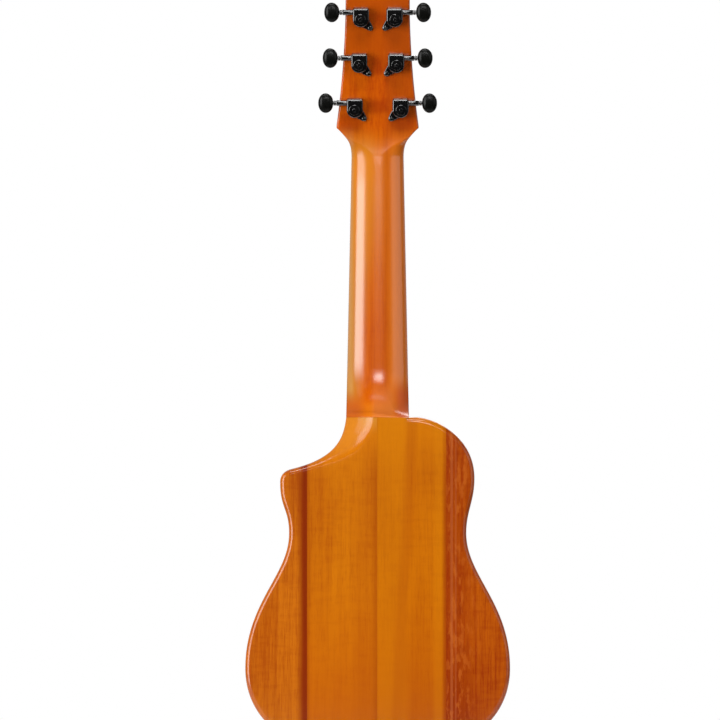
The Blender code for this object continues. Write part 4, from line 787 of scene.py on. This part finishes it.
# Soundboard. Two bookmatched spruce halves glued on the centre line, with a round sound hole and a
# groove for the rosette, with a fine straight grain, under the same kind of clear varnish.
def spruce_shade(place, x, y, z):
    """Grain as a sine of the distance from the centre line, with silky cross figure."""
    wander = (place.noise(5, 2, 0.5, (1.0, 1.0, 0.25)) - 0.5) * 0.004
    across = x.math("ABSOLUTE") + wander
    ring_spacing = 0.0016
    rings = (across * (math.tau / ring_spacing)).math("SINE") * 0.5 + 0.5
    lines = rings.power(3.0) * 0.45 + place.noise(700, 3, 0.6, (1, 1, 0.01)) * 0.35
    silk = place.noise(60, 3, 0.6, (0.12, 1.0, 1.6)).within(0.5, 0.75) * 0.25
    wood = lines.blend((0.72, 0.47, 0.20), (0.50, 0.26, 0.09))
    return silk.blend(wood, (0.78, 0.56, 0.28))


spruce = varnish("varnished_spruce", spruce_shade)
hole_z = joint_z - 0.0779
hole_radius, groove_inside, groove_outside = 0.03, 0.0314, 0.0371
top_thickness, groove_depth = 0.0025, 0.0013
top_edge, top_edge_width = 0.0006, 0.0008
rosette_inside, rosette_outside, rosette_thickness = 0.0315, 0.037, 0.0012


def soundboard_blank():
    """A plate between the outline and the hole's circle, its front edge eased and a groove cut.

    Each outline point is joined to the point of the circle in the same direction from its middle.
    """
    points = np.delete(outline, 2, axis=0)
    away = points - (0, hole_z)
    angle = np.arctan2(away[:, 1], away[:, 0])
    way = np.stack([np.cos(angle), np.sin(angle)], axis=1)
    hole, inside, outside = (
        radius * way + (0, hole_z) for radius in (hole_radius, groove_inside, groove_outside)
    )
    inner = np.delete(outline + inward * top_edge_width, 2, axis=0)
    levels = (
        (hole, -top_thickness), (points, -top_thickness), (points, -top_edge), (inner, 0.0), (outside, 0.0),
        (outside, -groove_depth), (inside, -groove_depth), (inside, 0.0), (hole, 0.0),
    )
    return skin("soundboard_blank", [at_depth(ring, y) for ring, y in levels], joined=True)


blank = soundboard_blank()
half_joint = 0.00003
for half, left, right in (("treble", -past_outline, -half_joint), ("bass", half_joint, past_outline)):
    name = f"spruce_top_{half}"
    mesh = sawn(name, blank, left, right)
    finish_mesh(name, mesh, "instrument", spruce, (f"soundboard_{half}",))


# Rosette. A flat ring inlaid round the sound hole: rosewood between thin light lines, with a row
# of small light diamonds round its middle, glued into the soundboard's groove.
def rosette_look():
    """Diamonds where distance from the ring's middle and a tooth wave along it add up to little."""
    made, place, link = material("rosette_inlay", 0.3, coat=0.6, coat_roughness=0.08)
    x, y, z = axes(place)
    down = z - hole_z
    radius = (x * x + down * down).power(0.5)
    diamonds = 72
    turns = down.math("ARCTAN2", x) * (diamonds / math.tau)
    tooth = (turns.math("FRACT") - 0.5).math("ABSOLUTE") * 0.0024
    off_middle = (radius - (rosette_inside + rosette_outside) / 2).math("ABSOLUTE")
    diamond = 1 - (off_middle + tooth).within(0.0008, 0.0010)
    line = off_middle.band(0.0019, 0.00016, 0.00005)
    base = place.noise(600, 3, 0.6, (1, 1, 0.3)).blend((0.045, 0.016, 0.009), (0.09, 0.035, 0.018))
    colour = diamond.blend(base, (0.60, 0.38, 0.14))
    link(Base_Color=line.blend(colour, (0.78, 0.66, 0.42)))
    return made


ring = turned([
    (rosette_inside, rosette_thickness), (rosette_outside, rosette_thickness), (rosette_outside, 0.0),
    (rosette_inside, 0.0), (rosette_inside, rosette_thickness),
], 160)
ring = np.stack([ring[..., 0], -ring[..., 2], ring[..., 1] + hole_z], axis=2)
mesh = skin("rosette", ring, capped=False)
finish_mesh("inlaid_rosette", mesh, "instrument", rosette_look(), ("rosette",))


# Bridge. A rosewood block glued on the soundboard, with a slot for the saddle and a tie block
# behind it. The same oiled brown-black wood, with its fine pores, serves for the fretboard and for
# the headstock's veneer.
def rosewood_look():
    """Broad bands along the grain with short dark pores, which also dent the surface."""
    made, place, link = material("oiled_rosewood", 0.42, Specular_IOR_Level=0.4)
    band = place.noise(160, 4, 0.6, (1.0, 1.0, 0.05)).within(0.35, 0.7)
    wood = band.blend((0.040, 0.017, 0.010), (0.105, 0.045, 0.022))
    pore = place.noise(1900, 2, 0.6, (1.0, 1.0, 0.04)).within(0.62, 0.7)
    link(Base_Color=(pore * 0.8).blend(wood, (0.012, 0.006, 0.004)))
    link(Roughness=place.noise(400, 2) * 0.15 + 0.36)
    link(Normal=(1 - pore).bump(0.25, 0.0002))
    return made


rosewood = rosewood_look()
dress(rosewood, "bridge")

# Braces. Plain spruce bars and a thin plate, glued under the soundboard across and along its grain,
# unvarnished, and seen only through the sound hole.
bare_spruce, place, link = material("bare_spruce", 0.7)
fibres = place.noise(500, 3, 0.6, (1, 1, 0.02))
link(Base_Color=fibres.blend((0.62, 0.43, 0.22), (0.5, 0.31, 0.14)))
dress(bare_spruce, "upper_cross_brace", "fan_bracing", "bridge_plate")

# Nut and saddle. Two strips of polished bone, cream with faint cloudy bands, set in the slots at the
# fretboard's end and in the bridge.
bone, place, link = material("polished_bone", 0.35)
link(Base_Color=place.noise(300, 3).blend((0.80, 0.74, 0.58), (0.70, 0.62, 0.45)))
link(Roughness=place.noise(800, 2) * 0.1 + 0.3)
dress(bone, "nut", "saddle")


# Fretboard. A flat rosewood board 5 mm thick that widens to the body, glued on the neck's front
# and over the soundboard, with 18 nickel frets, round pearl dots and small dots on its bass edge.
board_front = 0.005
fret_count, past_last_fret = 18, 0.0056


def board_rings():
    """Sections across: half width grows evenly, the upper edges are rounded by 0.5 mm."""
    end, edge = fret_z(fret_count) - past_last_fret, 0.0005
    rings = []
    a = np.linspace(0, math.pi / 2, 6)
    for z, eased_by in ((end, 0.0003), (end + 0.0005, 0), (-0.0006, 0), (-0.0001, 0.0003)):
        half = neck_half(z) - eased_by
        right = np.stack([half - edge * (1 - np.cos(a)), board_front - edge + edge * np.sin(a)], axis=1)
        left = right[::-1] * (-1, 1)
        flat = np.vstack([[(-half, 0.0001), (half, 0.0001)], right, left])
        rings.append(np.column_stack([flat[:, 0], flat[:, 1], np.full(len(flat), z)]))
    return rings


def fret_rings(fret):
    """A wire across the board: a half-round crown on a low foot, filed down at both ends."""
    crown_radius, filed = 0.001, 0.0007
    z = fret_z(fret)
    a = np.linspace(0, math.pi, 14)
    crown = np.stack([np.cos(a) * crown_radius, crown_radius * np.sin(a)], axis=1)
    crown = np.vstack([crown, [(-crown_radius, -0.0003), (crown_radius, -0.0003)]])
    half = neck_half(z) - 0.0004
    rings = []
    for x, share in ((-half, 0.45), (-half + filed, 1.0), (half - filed, 1.0), (half, 0.45)):
        height = board_front + crown[:, 1] * share
        rings.append(np.column_stack([np.full(len(crown), x), height, z + crown[:, 0]]))
    return rings


mesh = skin("board", board_rings())
finish_mesh("rosewood_board", mesh, "instrument", rosewood, ("fretboard",))
fret_metal = bright_metal("fret_nickel", (0.66, 0.65, 0.62), (0.45, 0.44, 0.40), 0.2)
mesh = one_mesh("fret_wires", [fret_rings(fret) for fret in range(1, fret_count + 1)])
finish_mesh("fret_wires", mesh, "instrument", fret_metal)

pearl, place, link = material("pearl_dots", 0.25, coat=0.5)
link(Base_Color=place.noise(420, 4, 0.7).blend((0.80, 0.80, 0.76), (0.62, 0.68, 0.70)))
face_dots = ((5, 0), (7, 0), (9, 0), (12, -0.012), (12, 0.012), (15, 0))
dot_profile = [(0.0029, 0.0040), (0.003, board_front), (0.0027, board_front + 0.00004)]
side_dot_profile, side_dot_height = [(0.0009, -0.002), (0.001, 0.0), (0.0009, 0.00004)], 0.0025
discs = []
for fret, x in face_dots:
    disc = turned(dot_profile, 40)
    z = fret_z(fret - 0.5)
    discs.append(np.stack([disc[..., 0] + x, disc[..., 2], disc[..., 1] + z], axis=2))
for fret in (5, 7, 9, 12, 15):
    disc = turned(side_dot_profile, 24)
    z = fret_z(fret - 0.5)
    across, height = disc[..., 2] + neck_half(z), disc[..., 0] + side_dot_height
    discs.append(np.stack([across, height, disc[..., 1] + z], axis=2))
finish_mesh("position_dots", one_mesh("dots", discs), "instrument", pearl)


# Headstock veneer. A 1.5 mm sheet of rosewood glued over the headstock's front, from the nut to the
# tip, cut to the headstock's outline.
def veneer_rings():
    """The headstock's outline beyond the nut, laid on the tilted front, its edge eased."""
    half, begins = headstock_half(), 0.0053
    start = np.interp(begins, half[:, 1], half[:, 0])
    half = np.vstack([[(start, begins)], half[half[:, 1] > begins + 0.0002]])
    both = np.vstack([half, (half * (-1, 1))[::-1]])
    along = both[:, 1] - bend_from
    rings = []
    for lift, inset in ((0.0001, 0.0), (0.0012, 0.0), (0.0016, 0.0004)):
        x = both[:, 0] * (1 - inset / 0.03)
        y = -along * math.sin(head_tilt) + lift * math.cos(head_tilt)
        z = bend_from + along * math.cos(head_tilt) + lift * math.sin(head_tilt)
        rings.append(np.column_stack([x, y, z]))
    return rings


mesh = skin("veneer", veneer_rings())
finish_mesh("rosewood_veneer", mesh, "instrument", rosewood, ("headplate",))


# Strings. Three plain nylon trebles and three wound basses, tied over the bridge's block, run over
# saddle and nut, and wound two and a half turns round their posts, the end passed through the hole.
def tube(path, radius, sides=10):
    """A round cord: at each point of the path a circle square to it, turned as little as possible."""
    path = np.array(path, dtype=float)
    ahead = np.gradient(path, axis=0)
    ahead /= np.linalg.norm(ahead, axis=1)[:, None]
    guide = np.array((1.0, 0.0, 0.0)) - ahead * ahead[:, :1]
    weak = np.linalg.norm(guide, axis=1) < 0.2
    guide[weak] = np.array((0.0, 1.0, 0.0)) - ahead[weak] * ahead[weak, 1:2]
    guide /= np.linalg.norm(guide, axis=1)[:, None]
    other = np.cross(ahead, guide)
    a = (np.arange(sides) / sides * math.tau)[:, None]
    return path[:, None] + radius * (guide[:, None] * np.cos(a) + other[:, None] * np.sin(a))


def eased(points, count):
    """A smooth path through points: a Catmull-Rom curve with count points for each stretch."""
    points = np.array(points, dtype=float)
    ends = np.vstack([2 * points[0] - points[1], points, 2 * points[-1] - points[-2]])
    t = (np.arange(count) / count)[None, :, None]
    p0, p1, p2, p3 = (ends[k:len(ends) - 3 + k][:, None] for k in range(4))
    square, cube = 2 * p0 - 5 * p1 + 4 * p2 - p3, 3 * p1 - p0 - 3 * p2 + p3
    curve = 0.5 * (2 * p1 + (p2 - p0) * t + square * t**2 + cube * t**3)
    return np.vstack([curve.reshape(-1, 3), points[-1:]])


nylon, place, link = material("clear_nylon", 0.22, Specular_IOR_Level=0.6)
link(Base_Color=place.noise(200, 2).blend((0.78, 0.78, 0.74), (0.70, 0.71, 0.68)))
wound, place, link = material("silvered_winding", 0.3, metallic=0.9)
link(Base_Color=place.noise(700, 3).blend((0.62, 0.60, 0.56), (0.42, 0.40, 0.37)))
coil_spacing = 0.0002
coils = (axes(place)[2] * (math.tau / coil_spacing)).math("SINE")
link(Normal=coils.bump(0.35, 0.00008))

string_diameters = (0.0007, 0.0008, 0.001, 0.00075, 0.0009, 0.0011)
spread_at_saddle, spread_at_nut = 0.051, 0.038
saddle_z = -0.435
tie_block_top, tie_hole = 0.0078, 0.0048
over_nut = 0.007
post_radius, post_hole = 0.003, 0.0012
first_turn, turn_rise, turns = 0.0206, 0.0017, 2.5


def string_run(x, radius):
    """From the loop tied round the bridge's block, through its hole, up and over the saddle."""
    over = tie_block_top + 0.0003 + radius
    behind = saddle_z - 0.018
    wrap = behind - 0.0003 - 2 * radius
    across = (
        (over, saddle_z - 0.0081), (over, behind + 0.0016), (over - 0.0002, behind),
        ((over + tie_hole) / 2, wrap), (tie_hole + 0.0001, behind - 0.0002),
        (tie_hole, behind + 0.002), (tie_hole, saddle_z - 0.0079),
        (tie_hole + 0.0004, saddle_z - 0.0070), (0.0113, saddle_z - 0.0013),
        (0.0118, saddle_z + 0.0002),
    )
    return eased([(x, y, z) for y, z in across], 8)


def string_winding(side, seat, radius):
    """Turns round the post, rising evenly from the first, and the end passed through its hole."""
    reach = post_radius + 0.0003 + radius
    a = np.linspace(0, turns * math.tau - math.asin(post_hole / reach), 110)
    height = first_turn + turn_rise * a / math.tau
    hole_at = first_turn + turn_rise * turns + 0.0007
    around = np.stack([-side * reach * np.cos(a), reach * np.sin(a), -height], axis=1)
    end = eased([
        (side * (reach - post_hole * 0.3), post_hole * 0.35, -hole_at + 0.0002),
        (side * (reach - post_hole), 0, -hole_at), (-side * (reach + 0.0025), 0, -hole_at),
    ], 6)
    return on_headstock(np.vstack([around, end]), seat)


for number, side, seat in sorted(machine_seats, key=lambda machine: machine[0]):
    radius = string_diameters[number - 1] / 2
    share = (number - 3.5) / 5
    at_nut = share * spread_at_nut
    winding = string_winding(side, seat, radius)
    nut_front = np.array((at_nut, over_nut, 0.005))
    run = np.vstack([
        string_run(share * spread_at_saddle, radius),
        [(at_nut, over_nut, -0.0004), (at_nut, over_nut, 0.0046)],
        [nut_front * 0.96 + winding[0] * 0.04, winding[0]],
    ])
    look = nylon if number < 4 else wound
    name = f"string_run_{number}"
    finish_mesh(name, skin(name, tube(run, radius)), "instrument", look, (f"string_{number}",), 60)
    name = f"string_winding_{number}"
    finish_mesh(name, skin(name, tube(winding, radius)), f"string_post_{number}", look, (), 60)


# Floor. A round pale board under the tail, on which the guitalele stands for the picture. It is no
# part of the object.
floor_radius, floor_corners = 0.55, 96
floor_middle = (0, 0.1, tail_z - 0.0002)
turn = np.arange(floor_corners) / floor_corners * math.tau
ring = np.stack([np.cos(turn), np.sin(turn), np.zeros(floor_corners)], axis=1)
floor_points = ring * floor_radius + floor_middle
floor_mesh = bpy.data.meshes.new("floor")
floor_mesh.from_pydata(floor_points, [], [list(range(floor_corners))])
floor = bpy.data.objects.new("floor", floor_mesh)
bpy.context.scene.collection.objects.link(floor)
floor_look, place, link = material("pale_floor", 0.85)
link(Base_Color=place.noise(3, 2).blend((0.80, 0.80, 0.79), (0.84, 0.84, 0.83)))
floor_mesh.materials.append(floor_look)


# Lights. Soft studio light: a tall softbox on the left, a weaker one on the right, one overhead, a
# large one behind that lights the floor and the edges, and a small one by the camera that leaves the
# round highlight on the neck. The background is plain white, and lights the wood only from behind.
lit_point = Vector((0, 0, -0.2))


def softbox(name, angle, rise, distance, width, height, power):
    """An area light at an angle from the camera's side, left negative, aimed at the middle."""
    data = bpy.data.lights.new(name, "AREA")
    data.shape = "RECTANGLE"
    data.size = width
    data.size_y = height
    data.energy = power
    light = bpy.data.objects.new(name, data)
    a, b = math.radians(angle), math.radians(rise)
    way = Vector((math.sin(a) * math.cos(b), -math.cos(a) * math.cos(b), math.sin(b)))
    light.location = lit_point + way * distance
    light.rotation_euler = way.to_track_quat("Z", "Y").to_euler()
    bpy.context.scene.collection.objects.link(light)


softbox("left_light", -50, 6, 2.2, 1.3, 2.0, 56)
softbox("right_light", 60, 8, 2.6, 2.4, 1.9, 14)
softbox("top_light", -6, 60, 2.0, 1.2, 0.5, 26)
softbox("spot_light", 2, 17, 2.3, 0.5, 0.5, 10)
softbox("rear_light", 165, 30, 2.6, 1.6, 1.4, 40)

world = bpy.data.worlds.new("studio")
world.use_nodes = True
bpy.context.scene.world = world
backdrop = world.node_tree.nodes["Background"]
sky = Node(world.node_tree, world.node_tree.nodes.new("ShaderNodeTexCoord").outputs["Generated"])
behind = sky.make("SeparateXYZ", None, 1, i0=sky).within(-0.1, 0.75)
seen = sky.make("LightPath", None, 0)
strength = (behind * 0.5 + 0.01).math("MAXIMUM", seen)
world.node_tree.links.new(strength.socket, backdrop.inputs["Strength"])
backdrop.inputs["Color"].default_value = (1, 1, 1, 1)


# Camera. The photograph looks straight at the flat back from far away with a long lens, so the
# picture is nearly without perspective. Its middle falls on the neck, 50 mm above the body and 15 mm
# left of the centre line.
picture_pixels, metres_per_pixel = 720, 0.0008655
middle_x, middle_z, back_y = -0.0153, -0.1904, -0.04
lens, sensor = 400, 36
camera_data = bpy.data.cameras.new("camera")
camera_data.lens = lens
camera_data.sensor_width = sensor
camera_data.clip_end = 40
camera = bpy.data.objects.new("camera", camera_data)
away = picture_pixels * metres_per_pixel * lens / sensor
camera.location = (middle_x, back_y - away, middle_z)
camera.rotation_euler = (math.pi / 2, 0, 0)
bpy.context.scene.collection.objects.link(camera)
bpy.context.scene.camera = camera
bpy.context.scene.view_settings.view_transform = "Standard"
